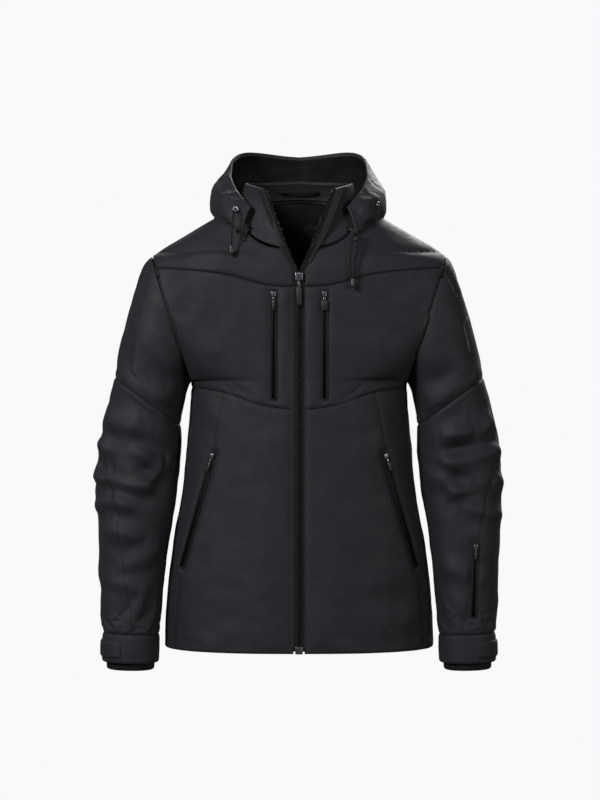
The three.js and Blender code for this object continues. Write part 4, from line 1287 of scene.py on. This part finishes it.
def build_sleeves():
    """Upper sleeves, lower sleeves, cuffs, storm cuffs and cuff straps."""
    for hand, sign in HANDS:

        def ring_surface(section, start, end, inset=0.0, side=sign):
            return lambda u, v: arm_ring(section, side, 2 * math.pi * u, lerp(start, end, v), inset)

        def upper(u, v, side=sign):
            turned = 1 - smooth(v / 0.024)
            point = arm_ring(UPPER_ARM, side, 2 * math.pi * u, lerp(0.002, ARM_SPLIT, v), SEWN_UNDER * turned)
            point[:, 0] -= side * 2 * turned
            return point

        def lower_surface(u, v, side=sign):
            angle = 2 * math.pi * u
            share = (1 - ARM_SPLIT) / (1 - ARM_SPLIT + 1.9)
            arm_t = lerp(ARM_SPLIT, 1, np.minimum(v / share, 1))
            fore_t = np.maximum((v - share) / (1 - share), 0)
            upper = arm_ring(UPPER_ARM, side, angle, arm_t)
            fore = arm_ring(FOREARM, side, angle, fore_t)
            return np.where((v < share)[:, None], upper, fore)

        edges = ("free", "free", "seam", "seam")
        options = {"wrapped": True, "ripple": 1.6, "drape": {"cells": (48, 30), "slack": 0.05}}
        if hand == "left":
            options["calm"] = [(one(badge_surface, 0.5, 0.5), 64)]
        piece = cloth("upper_sleeve_shell_" + hand, upper, (150, 100), sign, edges, options)
        finish_piece(piece, None, ["upper_sleeve_" + hand])
        armhole = ring_middle(UPPER_ARM, sign, 0)
        bend_sleeve(piece, (0.955 * sign, 0, -0.297))

        seam = [(-735, sign * 262), (-560, sign * 291), (-499, sign * 296), (-438, sign * 318)]
        options = {"wrapped": True, "ripple": 1.6, "lines": [upright_line(seam, FRONT, -735, -440)]}
        options["drape"] = {"cells": (48, 50), "slack": 0.13, "loose": (-0.1, 0.62), "bending": 0.8, "cap": 14}
        if hand == "left":
            options["zips"] = [zip_line("pass")]
            seam = [(-733, 259), (-541, 293), (-453, 313)]
            options["lines"] = [upright_line(seam, FRONT, -735, -452)]
        edges = ("free", "free", "seam", "seam")
        piece = cloth("lower_sleeve_shell_" + hand, lower_surface, (150, 150), sign, edges, options)
        finish_piece(piece, None, ["lower_sleeve_" + hand])
        elbow = ring_middle(FOREARM, sign, 0)
        bend_sleeve(piece, (0.1 * sign, 0, -1))

        body = "lower_sleeve_" + hand
        options = {"wrapped": True, "ripple": 0.5, "loft": 1.0, "thickness": 3.5}
        piece = cloth("cuff_shell_" + hand, ring_surface(CUFF, 0.004, 1), (150, 26), sign, ("free", "free", "seam", "hem"), options)
        finish_piece(piece, body, ["cuff_" + hand])

        def storm(u, v, side=sign):
            point = arm_ring(CUFF, side, 2 * math.pi * u, lerp(0.3, 1, v), 7.5)
            point[:, 2] -= 12 * v
            return point

        options = {"wrapped": True, "ripple": 0.4, "loft": 0.4, "thickness": 2.2, "outside": "knit", "inside": "knit"}
        piece = cloth("storm_cuff_knit_" + hand, storm, (120, 24), sign, ("free", "free", "plain", "hem"), options)
        finish_piece(piece, body, ["storm_cuff_" + hand])
        build_strap(hand, sign)


def build_strap(hand, sign):
    """The cuff's closing strap: it lies round the cuff."""
    step = 2 * math.pi / 24

    def surface(u, v):
        angle = (5 - 8 * u) * step
        top, low = 0.26 + 0.03 * smooth((0.12 - u) / 0.12), 0.82 - 0.06 * smooth((u - 0.86) / 0.14)
        return arm_ring(CUFF, sign, angle, lerp(low, top, v), -3.4)

    options = {"ripple": 0.0, "loft": 0.5, "thickness": 2.4, "inside": "lining"}
    piece = cloth("cuff_strap_tab_" + hand, surface, (64, 16), sign, ("hem", "hem", "hem", "hem"), options)
    finish_piece(piece, "cuff_strap_" + hand, ["cuff_strap_" + hand])


def build_collar():
    """Collar: two sides that carry the zip and a back, faced in black inside."""
    split = 0.36

    def lifted(point):
        point[:, 2] += 0.2
        return point

    for hand, sign in HANDS:

        def side(u, v, hand_sign=sign):
            point = lifted(collar_point(lerp(split, 1, u), v))
            point[:, 0] *= hand_sign
            return point

        options = {"ripple": 1.0, "loft": 1.2, "thickness": 5}
        piece = cloth("collar_shell_" + hand, side, (84, 56), -sign, ("seam", "hem", "seam", "hem"), options)
        finish_piece(piece, "jacket_body", ["collar_" + hand])

    def back(u, v):
        a = (2 * u - 1) * split
        point = lifted(collar_point(np.abs(a), v))
        point[:, 0] *= np.sign(a)
        return point

    options = {"ripple": 1.0, "loft": 1.2, "thickness": 5}
    piece = cloth("collar_back_shell", back, (90, 40), -1, ("seam", "seam", "seam", "hem"), options)
    finish_piece(piece, "jacket_body", ["collar_back"])


HOOD_DRAPE = {"cells": (30, 34), "slack": 0.035, "cap": 6, "pressure": 0.3, "bending": 1.5}


def build_hood():
    """Hood: a centre strip and two sides, lying open round the neck."""
    for hand, sign in HANDS:

        def side(u, v, hand_sign=sign):
            return hood_point(hand_sign * lerp(HOOD_SPLIT + 0.05, HOOD_END, u), v)

        options = {"ripple": 2.6, "loft": 2.6, "thickness": 6.5, "drape": HOOD_DRAPE}
        piece = cloth("hood_side_shell_" + hand, side, (90, 110), -sign, ("seam", "hem", "seam", "hem"), options)
        finish_piece(piece, "jacket_body", ["hood_side_" + hand])

    def middle(u, v):
        return hood_point(lerp(0.05 - HOOD_SPLIT, HOOD_SPLIT - 0.05, u), v)

    options = {"ripple": 2.6, "loft": 2.6, "thickness": 6.5, "drape": HOOD_DRAPE}
    piece = cloth("hood_centre_shell", middle, (110, 110), -1, ("seam", "seam", "seam", "hem"), options)
    finish_piece(piece, "jacket_body", ["hood_centre"])


def round_skin(bottom, top, start):
    """Inner skin from one front edge round the back to the other."""

    def surface(w, v):
        z = lerp(bottom, top, v)
        turn = np.abs(4 * w - 2)
        sign = np.where(w < 0.5, -1.0, 1.0)
        front = body_point(-1, sign * lerp(1, start(z), np.maximum(turn - 1, 0)), z)
        back = body_point(1, sign * turn, z)
        return np.where((turn > 1)[:, None], front, back)

    return surface


def inset(surface, depth, outward):
    """The surface moved inwards by depth, a size or a function of v."""

    def moved(u, v):
        step = 0.004
        around = surface(u + step, v) - surface(u - step, v)
        along = surface(u, v + step) - surface(u, v - step)
        amount = depth(v) if callable(depth) else np.full(v.shape, float(depth))
        return surface(u, v) - unit(np.cross(around, along)) * outward * amount[:, None]

    return moved


def hang_sheet(piece, node):
    """Hangs a sheet of lining from the jacket's body in place of its part."""
    finish_piece(piece, "jacket_body", [node])


def build_linings():
    """Body lining, powder skirt, wind flap, hand pocket bags and the hanger loop."""

    def start(z):
        return fraction_at(30, z)

    body = round_skin(-BODY_LENGTH + 14, ARMHOLE_BOTTOM - 10, start)
    hang = inset(body, lambda v: lerp(9.0, 18.0, smooth(v / 0.12)), -1)
    options = {"ripple": 1.2, "loft": 0.4, "thickness": 1.2, "outside": "lining"}
    piece = cloth("body_lining_cloth", hang, (220, 70), -1, ("plain", "plain", "plain", "plain"), options)
    hang_sheet(piece, "body_lining")
    skirt = round_skin(-BODY_LENGTH + 30, -BODY_LENGTH + 150, start)
    hang = inset(skirt, lambda v: lerp(26.0, 20.6, smooth((v - 0.85) / 0.15)), -1)
    piece = cloth("snow_skirt_cloth", hang, (220, 30), -1, ("plain", "plain", "hem", "plain"), options)
    hang_sheet(piece, "snow_skirt")
    half = fraction_at(24, -300)[0]

    def flap(u, v):
        return body_point(-1, lerp(-half, half, u), lerp(-BODY_LENGTH + 8, -150, v))

    options = {"ripple": 0.3, "loft": 0.3, "thickness": 1.8, "outside": "lining"}
    piece = cloth("wind_flap_cloth", inset(flap, 9.2, 1), (16, 120), 1, ("hem", "hem", "hem", "hem"), options)
    hang_sheet(piece, "wind_flap")
    for hand, sign in HANDS:
        bag = between(-1, sign, [(0, -650), (1, -650)], [(0, -440), (1, -440)], lambda z: np.full(z.shape, 0.22))

        def narrow(u, v, bag=bag):
            return bag(u * 0.72, v)

        options = {"ripple": 0.6, "loft": 0.2, "thickness": 1.6, "outside": "lining"}
        hung = inset(narrow, 10.6, sign)
        piece = cloth("hand_pocket_pouch_" + hand, hung, (40, 50), sign, ("hem", "hem", "hem", "hem"), options)
        hang_sheet(piece, "hand_pocket_bag_" + hand)
    build_hanger_loop()


def build_hanger_loop():
    """A flat tape arched across the inside of the collar's back."""
    low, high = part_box("hanger_loop")
    bm = bmesh.new()
    size = (4.2, 1.4, 0)
    corners = [bm.verts.new(Vector((low.x, 0, 0)) + Vector((0, y * MM, z * MM))) for y, z in ((-0.7, -2.1), (0.7, -2.1), (0.7, 2.1), (-0.7, 2.1))]
    face = bm.faces.new(corners)
    steps = 22
    middle = (low + high) / 2
    rise = (high.y - low.y) - size[1] * MM
    places = []
    for k in range(steps + 1):
        t = k / steps
        arch = math.sin(math.pi * t) ** 0.55
        places.append(Vector((lerp(low.x, high.x, t), high.y - 0.7 * MM - rise * arch, middle.z)))
    for vertex in face.verts:
        vertex.co += Vector((0, places[0].y, places[0].z))
    for a, b in zip(places, places[1:]):
        grown = bmesh.ops.extrude_face_region(bm, geom=[face])
        bmesh.ops.delete(bm, geom=[face], context="FACES") if face.is_valid and a is not places[0] else None
        face = next(g for g in grown["geom"] if isinstance(g, bmesh.types.BMFace))
        bmesh.ops.translate(bm, verts=list(face.verts), vec=b - a)
    piece = new_piece("hanger_loop_tape", bm, ["tape"])
    finish_piece(piece, "jacket_body", ["hanger_loop"])


def strip_along(points, widths, lift, finish, name):
    """A ribbon through rows of points: each row is the ribbon's section, in millimetres."""
    bm = bmesh.new()
    rows = [[bm.verts.new(Vector(p) * MM) for p in row] for row in points]
    for a, b in zip(rows, rows[1:]):
        for i in range(len(a)):
            k = (i + 1) % len(a)
            bm.faces.new((a[i], a[k], b[k], b[i]))
    bm.faces.new(rows[0][::-1])
    bm.faces.new(rows[-1])
    return new_piece(name, bm, [finish])


def front_rows(sign, section, step=6.0):
    """Sections down a front edge; section holds (distance inwards from the edge, depth behind the face)."""
    levels = np.arange(-BODY_LENGTH + 4, OPENING_TOP - 2 + 0.1, step)
    edge, depth = front_edge(levels), edge_depth(levels)
    return [[(sign * (x - a), -y + b, z) for a, b in section] for x, y, z in zip(edge, depth, levels)]


def build_facing():
    """The black facing that shows where the left front edge falls open."""
    section = [(-12, -1.2), (-11, -2.9), (0.8, -2.6), (1.2, 0.6), (0.2, 0.9), (-10, -0.4)]
    rows = []
    for row in front_rows(1, section):
        height = row[0][2] - ZIP_CLOSED_TOP
        if height > 4:
            share = 0.2 + 0.8 * min(height / 70, 1)
            edge = row[3][0]
            rows.append([(edge + (x - edge) * share, y, z) for x, y, z in row])
    facing = strip_along(rows, None, 0, "lining", "front_facing_left")
    settle(facing)
    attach(facing, "jacket_body")


def build_main_zip():
    """Main zip: two woven tapes, two rows of teeth, slider, pull and box."""
    inner = ZIP_TAPE_WIDTH + REST_GAP
    for hand, sign in HANDS:
        section = [(-5, 3.4), (REST_GAP, 1.9), (inner - 0.2, 1.9), (inner - 0.2, 2.9), (REST_GAP, 3.1), (-5, 4.4)]
        tape = strip_along(front_rows(sign, section), None, 0, "tape", "main_zip_tape_woven_" + hand)
        settle(tape)
        finish_piece(tape, "jacket_body", ["main_zip_tape_" + hand])
        bm = bmesh.new()
        top, foot = OPENING_TOP - 3, -BODY_LENGTH + 16
        pitch = sizes().tooth_pitch / MM
        count = int((top - foot) / pitch)
        levels = foot + np.arange(count) * pitch + (pitch / 2 if sign > 0 else 0)
        edge, depth = front_edge(levels), edge_depth(levels)
        after = front_edge(levels + 1), edge_depth(levels + 1)
        for k in range(count):
            down = Vector((sign * (after[0][k] - edge[k]), -(after[1][k] - depth[k]), 1)).normalized()
            wide = Vector((sign, 0, 0)) - down * down.x * sign
            wide.normalize()
            out = wide.cross(down)
            turn = Matrix((wide, down, out)).transposed().to_4x4()
            reach = inner - 1.2
            place = Vector((sign * (edge[k] - reach), -depth[k] + 0.45, levels[k]))
            plain_box(bm, (3.0, pitch * 0.46, 2.6), Matrix.Translation(place * MM) @ turn, 0.4, 1)
        teeth = settle(new_piece("main_zip_teeth_row_" + hand, bm, ["teeth"]), 60)
        finish_piece(teeth, "jacket_body", ["main_zip_teeth_" + hand])
    line = zip_line("main")
    bm = bmesh.new()
    plain_box(bm, (12.4, 13, 1.9), line.matrix(8.5, 3.0), 0.85, 3)
    plain_box(bm, (3.2, 4.4, 2.2), line.matrix(4.6, 4.1), 0.7, 3)
    for side in (-1, 1):
        plain_box(bm, (1.5, 12.6, 3.2), line.matrix(8.6, 1.3, side * 5.4), 0.5, 2)
    slider = settle(new_piece("main_zip_slider_metal", bm, ["metal"]))
    finish_piece(slider, "main_slider", ["main_zip_slider"])
    build_pull("main_zip_pull_moulded", line, 15.3, 40, 9, 3.9, 2.4, "main_pull", "main_zip_pull")
    bm = bmesh.new()
    plain_box(bm, (12, 12, 2.4), line.matrix(line.length - 6, 2.7), 0.8, 3)
    plain_box(bm, (9, 1.2, 0.8), line.matrix(line.length - 9, 3.9), 0.3, 2)
    plain_box(bm, (9, 1.2, 0.8), line.matrix(line.length - 6, 3.9), 0.3, 2)
    box = settle(new_piece("main_zip_box_metal", bm, ["metal"]))
    finish_piece(box, "jacket_body", ["main_zip_box"])


def build_pull(name, line, start, length, width, top, thickness, body, node):
    """A zip pull: a metal link, then a moulded grip that widens, ribbed across its face."""
    bm = bmesh.new()
    centre = top - thickness / 2
    plain_box(bm, (width * 0.42, length * 0.3, thickness * 0.5), line.matrix(start + length * 0.16, centre), 0.35, 2)
    for piece in bm.faces:
        piece.material_index = 1
    grip = plain_box(bm, (width, length * 0.74, thickness), line.matrix(start + length * 0.63, centre), thickness * 0.42, 3)
    for vertex in grip:
        along, across, _ = line.local(np.array([vertex.co / MM]))
        t = float((along[0] - start) / length)
        pinch = 0.66 + 0.34 * math.sin(math.pi * min(max((t - 0.1) / 0.95, 0), 1)) ** 0.6
        vertex.co += line.wide * float(across[0]) * (pinch - 1) * MM
    ribs = 5
    for k in range(ribs):
        at = start + length * (0.5 + 0.36 * k / (ribs - 1))
        plain_box(bm, (width * 0.62, length * 0.022, 0.7), line.matrix(at, top), 0.25, 1)
    pull = settle(new_piece(name, bm, ["moulded", "metal"]))
    finish_piece(pull, body, [node])


POCKETS = {
    "right_chest": ("jacket_body", 22, 6.0),
    "left_chest": ("jacket_body", 22, 10.0),
    "right_hand": ("jacket_body", 20, 6.0),
    "left_hand": ("jacket_body", 20, 6.0),
    "pass": ("lower_sleeve_left", 16, 5.2),
}


def build_pocket_zips():
    """Pocket zips: tape, coil and cloth welts, then slider and pull."""
    for place, (body, pull_length, pull_width) in POCKETS.items():
        line = zip_line(place)
        half = POCKET_ZIP_WIDTH / 2
        bm = bmesh.new()
        plain_box(bm, (2 * half, line.length, 1.6), line.matrix(line.length / 2, -1.6), 0.3, 1)
        pitch = 1.5
        for k in range(int((line.length - 14) / pitch)):
            plain_box(bm, (3.2, pitch * 0.55, 1.2), line.matrix(10 + k * pitch, -0.45), 0.3, 1)
        coil = [f for f in bm.faces if line.local(np.array([f.calc_center_median() / MM]))[2][0] > -1.2]
        for face in coil:
            face.material_index = 1
        for side in (-1, 1):
            before = set(bm.faces)
            welt = plain_box(bm, (2.7, line.length + 3, 2.7), line.matrix(line.length / 2, -0.75, side * (half - 0.4)), 1.2, 3)
            for face in set(bm.faces) - before:
                face.material_index = 2
        before = set(bm.faces)
        for end in (0.0, line.length):
            plain_box(bm, (2 * half + 1.4, 2.4, 2.6), line.matrix(end, -0.7), 1.1, 3)
        for face in set(bm.faces) - before:
            face.material_index = 2
        strip = settle(new_piece(place + "_zip_welted", bm, ["tape", "coil", "shell"]))
        finish_piece(strip, body, [place + "_zip_strip"])
        bm = bmesh.new()
        plain_box(bm, (6.8, 9, 1.7), line.matrix(6.5, 2.0), 0.75, 3)
        plain_box(bm, (2.4, 4.0, 1.5), line.matrix(4.8, 3.3), 0.5, 2)
        for side in (-1, 1):
            plain_box(bm, (1.0, 8.6, 1.4), line.matrix(6.5, 1.3, side * 2.7), 0.3, 2)
        slider = settle(new_piece(place + "_zip_slider_metal", bm, ["metal"]))
        finish_piece(slider, place + "_slider", [place + "_zip_slider"])
        build_pull(place + "_zip_pull_moulded", line, 11.3, pull_length, pull_width, 4.3, 2.0, place + "_pull", place + "_zip_pull")


EYELETS = {"right": (-127, 0.72), "left": (113, 0.66)}


def build_trims():
    """Eyelets, cord ends and the sleeve badge."""
    for hand, (degrees, b) in EYELETS.items():
        low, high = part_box("eyelet_" + hand)
        around = one(hood_point, degrees + 1, b) - one(hood_point, degrees - 1, b)
        up = one(hood_point, degrees, b + 0.02) - one(hood_point, degrees, b - 0.02)
        normal = up.cross(around).normalized()
        turn = normal.to_track_quat("Z", "Y").to_matrix().to_4x4()
        bm = bmesh.new()
        profile = [(2.1, -0.5), (4.9, -0.4), (5.3, 0.3), (4.6, 1.1), (3.4, 1.5), (2.4, 1.1), (2.0, 0.2)]
        lathe(bm, profile, Matrix.Translation((low + high) / 2) @ turn)
        eyelet = settle(new_piece("eyelet_ring_" + hand, bm, ["metal"]))
        finish_piece(eyelet, "jacket_body", ["eyelet_" + hand])
    for hand in ("right", "left"):
        low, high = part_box("cord_end_" + hand)
        place = Vector(((low.x + high.x) / 2, (low.y + high.y) / 2, high.z))
        profile = [(0, 0), (1.7, 0), (2.3, -0.5), (2.6, -2), (3.2, -4.2), (3.9, -8), (4.3, -11.4), (4.2, -13.6), (3.2, -14.7), (0, -15)]
        bm = bmesh.new()
        lathe(bm, profile, Matrix.Translation(place))
        for height in (-5.6, -7.4, -9.2):
            radius = 3.2 + (-height - 4.2) * 0.18
            lathe(bm, [(radius - 0.3, 0.35), (radius + 0.35, 0.2), (radius + 0.35, -0.2), (radius - 0.3, -0.35)], Matrix.Translation(place + Vector((0, 0, height * MM))), 24)
        bell = settle(new_piece("cord_end_bell_" + hand, bm, ["moulded"]))
        finish_piece(bell, "jacket_body", ["cord_end_" + hand])
    build_badge()


def build_badge():
    """A plain rubber patch, laid on the left upper sleeve."""
    options = {"ripple": 0, "loft": 0, "thickness": 2.2, "outside": "badge", "inside": "badge", "rim": 1}
    piece = cloth("sleeve_badge_patch", badge_surface, (40, 40), 1, ("hem", "hem", "hem", "hem"), options)
    mesh = piece.data
    finish_piece(piece, "upper_sleeve_left", ["sleeve_badge"])
    mesh.update()


CORD_ROUTES = {
    "right": [
        (-103.5, -84.9, -13),
        (-104.2, -92, -13.8),
        (-105, -97.5, -17),
        (-106, -102, -24),
        (-107, -104.5, -35),
        (-107.8, -105.6, -47),
        (-108.5, -106.5, -60),
        (-109, -107, -73),
    ],
    "left_front": [
        (89, -96.4, -53),
        (88, -103, -57),
        (86, -107, -65),
        (83.5, -110, -79),
        (82.5, -113, -95),
        (83, -115.5, -110),
        (84.2, -117, -127),
    ],
    "left_rear": [
        (95, -96.4, -52),
        (95.2, -103, -57),
        (94.5, -107, -66),
        (92.8, -110, -80),
        (90.8, -113, -95),
        (89, -115.5, -110),
        (88.2, -117, -127),
    ],
}


def dense_route(points, parts=5):
    """More points on a smooth curve through a cord's route."""
    table = np.array(points, float)
    length = np.concatenate([[0], np.cumsum(np.linalg.norm(np.diff(table, axis=0), axis=1))])
    at = np.linspace(0, length[-1], parts * (len(points) - 1) + 1)
    return np.stack([through(list(zip(length, table[:, k])), at) for k in range(3)], axis=-1)


def build_cords():
    """Braided hood cords, each a round tube along its own route."""
    for name, route in CORD_ROUTES.items():
        path = dense_route(route) * MM
        curve = bpy.data.curves.new("hood_cord_braid_" + name, "CURVE")
        curve.dimensions = "3D"
        curve.bevel_depth = CORD_DIAMETER * MM / 2
        curve.bevel_resolution = 4
        curve.use_fill_caps = True
        spline = curve.splines.new("POLY")
        spline.points.add(len(path) - 1)
        for point, place in zip(spline.points, path):
            point.co = (*place, 1)
        curve.materials.append(finish_of("cord"))
        cord = bpy.data.objects.new("hood_cord_braid_" + name, curve)
        bpy.context.scene.collection.objects.link(cord)
        finish_piece(cord, "jacket_body", ["hood_cord_" + name])


# Stage

CAMERA_DISTANCE = 3.7
VIEW_HEIGHT = 1.28


def build_stage():
    """Front camera, pale floor, pale world and soft lights from the front left."""
    scene = bpy.context.scene
    low, high = Vector(CAD_BOX[0]), Vector(CAD_BOX[1])
    camera_data = bpy.data.cameras.new("front_camera")
    camera = bpy.data.objects.new("front_camera", camera_data)
    scene.collection.objects.link(camera)
    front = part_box("front_panel_right")[0].y
    camera.location = (0.0016, front - CAMERA_DISTANCE, -0.323)
    camera.rotation_euler = (math.pi / 2, 0, 0)
    camera_data.sensor_width = 36
    camera_data.lens = 36 * CAMERA_DISTANCE / VIEW_HEIGHT
    camera_data.dof.use_dof = False
    scene.camera = camera

    floor_level = low.z - 0.7
    bm = bmesh.new()
    bmesh.ops.create_circle(bm, cap_ends=True, segments=96, radius=30, matrix=Matrix.Translation((0, 0, floor_level)))
    mesh = bpy.data.meshes.new("studio_floor")
    bm.to_mesh(mesh)
    bm.free()
    floor = bpy.data.objects.new("studio_floor", mesh)
    finish = Finish("studio_floor_paint")
    finish.shader.inputs["Base Color"].default_value = (0, 0, 0, 1)
    finish.shader.inputs["Specular IOR Level"].default_value = 0
    finish.shader.inputs["Emission Color"].default_value = (0.985, 0.99, 1.0, 1)
    finish.shader.inputs["Emission Strength"].default_value = 0.955
    mesh.materials.append(finish.material)
    floor.visible_diffuse = floor.visible_glossy = False
    scene.collection.objects.link(floor)

    world = bpy.data.worlds.new("studio_world")
    world.use_nodes = True
    tree = world.node_tree
    ambient, seen = tree.nodes["Background"], tree.nodes.new("ShaderNodeBackground")
    for background, strength in ((ambient, 0.13), (seen, 0.955)):
        background.inputs["Color"].default_value = (0.985, 0.99, 1.0, 1)
        background.inputs["Strength"].default_value = strength
    sight, chosen = tree.nodes.new("ShaderNodeLightPath"), tree.nodes.new("ShaderNodeMixShader")
    tree.links.new(sight.outputs["Is Camera Ray"], chosen.inputs[0])
    tree.links.new(ambient.outputs[0], chosen.inputs[1])
    tree.links.new(seen.outputs[0], chosen.inputs[2])
    tree.links.new(chosen.outputs[0], tree.nodes["World Output"].inputs["Surface"])
    scene.world = world
    scene.view_settings.view_transform = "Standard"
    for name, place, energy, size in (
        ("key_light", (-2.3, -2.6, 1.5), 165, 1.1),
        ("fill_light", (2.6, -2.9, 0.5), 62, 1.4),
        ("rim_light", (0.9, 2.9, 1.7), 210, 1.8),
    ):
        data = bpy.data.lights.new(name, "AREA")
        data.energy = energy
        data.size = size
        light = bpy.data.objects.new(name, data)
        light.location = place
        aim = Vector((0, 0, -0.3)) - light.location
        light.rotation_euler = aim.to_track_quat("-Z", "Y").to_euler()
        scene.collection.objects.link(light)


# Operators


class BuildOperator:
    bl_options = {"REGISTER", "UNDO"}
    steps = ()

    def execute(self, context):
        for step in self.steps:
            step()
        return {"FINISHED"}


class JACKET_OT_stage(BuildOperator, bpy.types.Operator):
    """Add the camera, the floor and the lights."""

    bl_idname = "jacket.stage"
    bl_label = "Stage"
    steps = (build_stage,)


class JACKET_OT_cords(BuildOperator, bpy.types.Operator):
    """Add the eyelets, cord ends, sleeve badge and braided hood cords."""

    bl_idname = "jacket.cords"
    bl_label = "Cords and trims"
    steps = (build_trims, build_cords)


class JACKET_OT_fronts(BuildOperator, bpy.types.Operator):
    """Sew the front panels, chest panels and front yokes."""

    bl_idname = "jacket.fronts"
    bl_label = "Fronts"
    steps = (set_folds, build_fronts)


class JACKET_OT_back(BuildOperator, bpy.types.Operator):
    """Sew the back panel and its yoke."""

    bl_idname = "jacket.back"
    bl_label = "Back"
    steps = (build_back,)


class JACKET_OT_sleeves(BuildOperator, bpy.types.Operator):
    """Sew the sleeves, cuffs, storm cuffs and straps."""

    bl_idname = "jacket.sleeves"
    bl_label = "Sleeves"
    steps = (build_sleeves,)


class JACKET_OT_collar(BuildOperator, bpy.types.Operator):
    """Sew the collar."""

    bl_idname = "jacket.collar"
    bl_label = "Collar"
    steps = (build_collar,)


class JACKET_OT_hood(BuildOperator, bpy.types.Operator):
    """Sew the hood."""

    bl_idname = "jacket.hood"
    bl_label = "Hood"
    steps = (build_hood,)


class JACKET_OT_linings(BuildOperator, bpy.types.Operator):
    """Hang the lining, the powder skirt, the wind flap, the pocket bags and the hanger loop."""

    bl_idname = "jacket.linings"
    bl_label = "Linings"
    steps = (build_linings,)


class JACKET_OT_zips(BuildOperator, bpy.types.Operator):
    """Fit the main zip and the pocket zips."""

    bl_idname = "jacket.zips"
    bl_label = "Zips"
    steps = (build_facing, build_main_zip, build_pocket_zips)


OPERATORS = (
    JACKET_OT_stage,
    JACKET_OT_cords,
    JACKET_OT_fronts,
    JACKET_OT_back,
    JACKET_OT_sleeves,
    JACKET_OT_collar,
    JACKET_OT_hood,
    JACKET_OT_linings,
    JACKET_OT_zips,
)


class JACKET_PT_panel(bpy.types.Panel):
    """Lists the jacket's sizes, colours and pieces."""

    bl_idname = "JACKET_PT_panel"
    bl_label = "Ski Jacket"
    bl_space_type = "VIEW_3D"
    bl_region_type = "UI"
    bl_category = "Ski Jacket"

    def draw(self, context):
        scene = context.scene
        for group, names in (
            (scene.jacket_sizes, JacketSizes.__annotations__),
            (scene.jacket_colours, JacketColours.__annotations__),
        ):
            for name in names:
                self.layout.prop(group, name)
        for operator in OPERATORS:
            self.layout.operator(operator.bl_idname)


CLASSES = (JacketSizes, JacketColours, *OPERATORS, JACKET_PT_panel)


def register():
    for cls in CLASSES:
        bpy.utils.register_class(cls)
    bpy.types.Scene.jacket_sizes = bpy.props.PointerProperty(type=JacketSizes)
    bpy.types.Scene.jacket_colours = bpy.props.PointerProperty(type=JacketColours)


def unregister():
    del bpy.types.Scene.jacket_colours
    del bpy.types.Scene.jacket_sizes
    for cls in reversed(CLASSES):
        bpy.utils.unregister_class(cls)


def main():
    register()
    for operator in OPERATORS:
        group, name = operator.bl_idname.split(".")
        getattr(getattr(bpy.ops, group), name)()


if __name__ == "__main__":
    main()
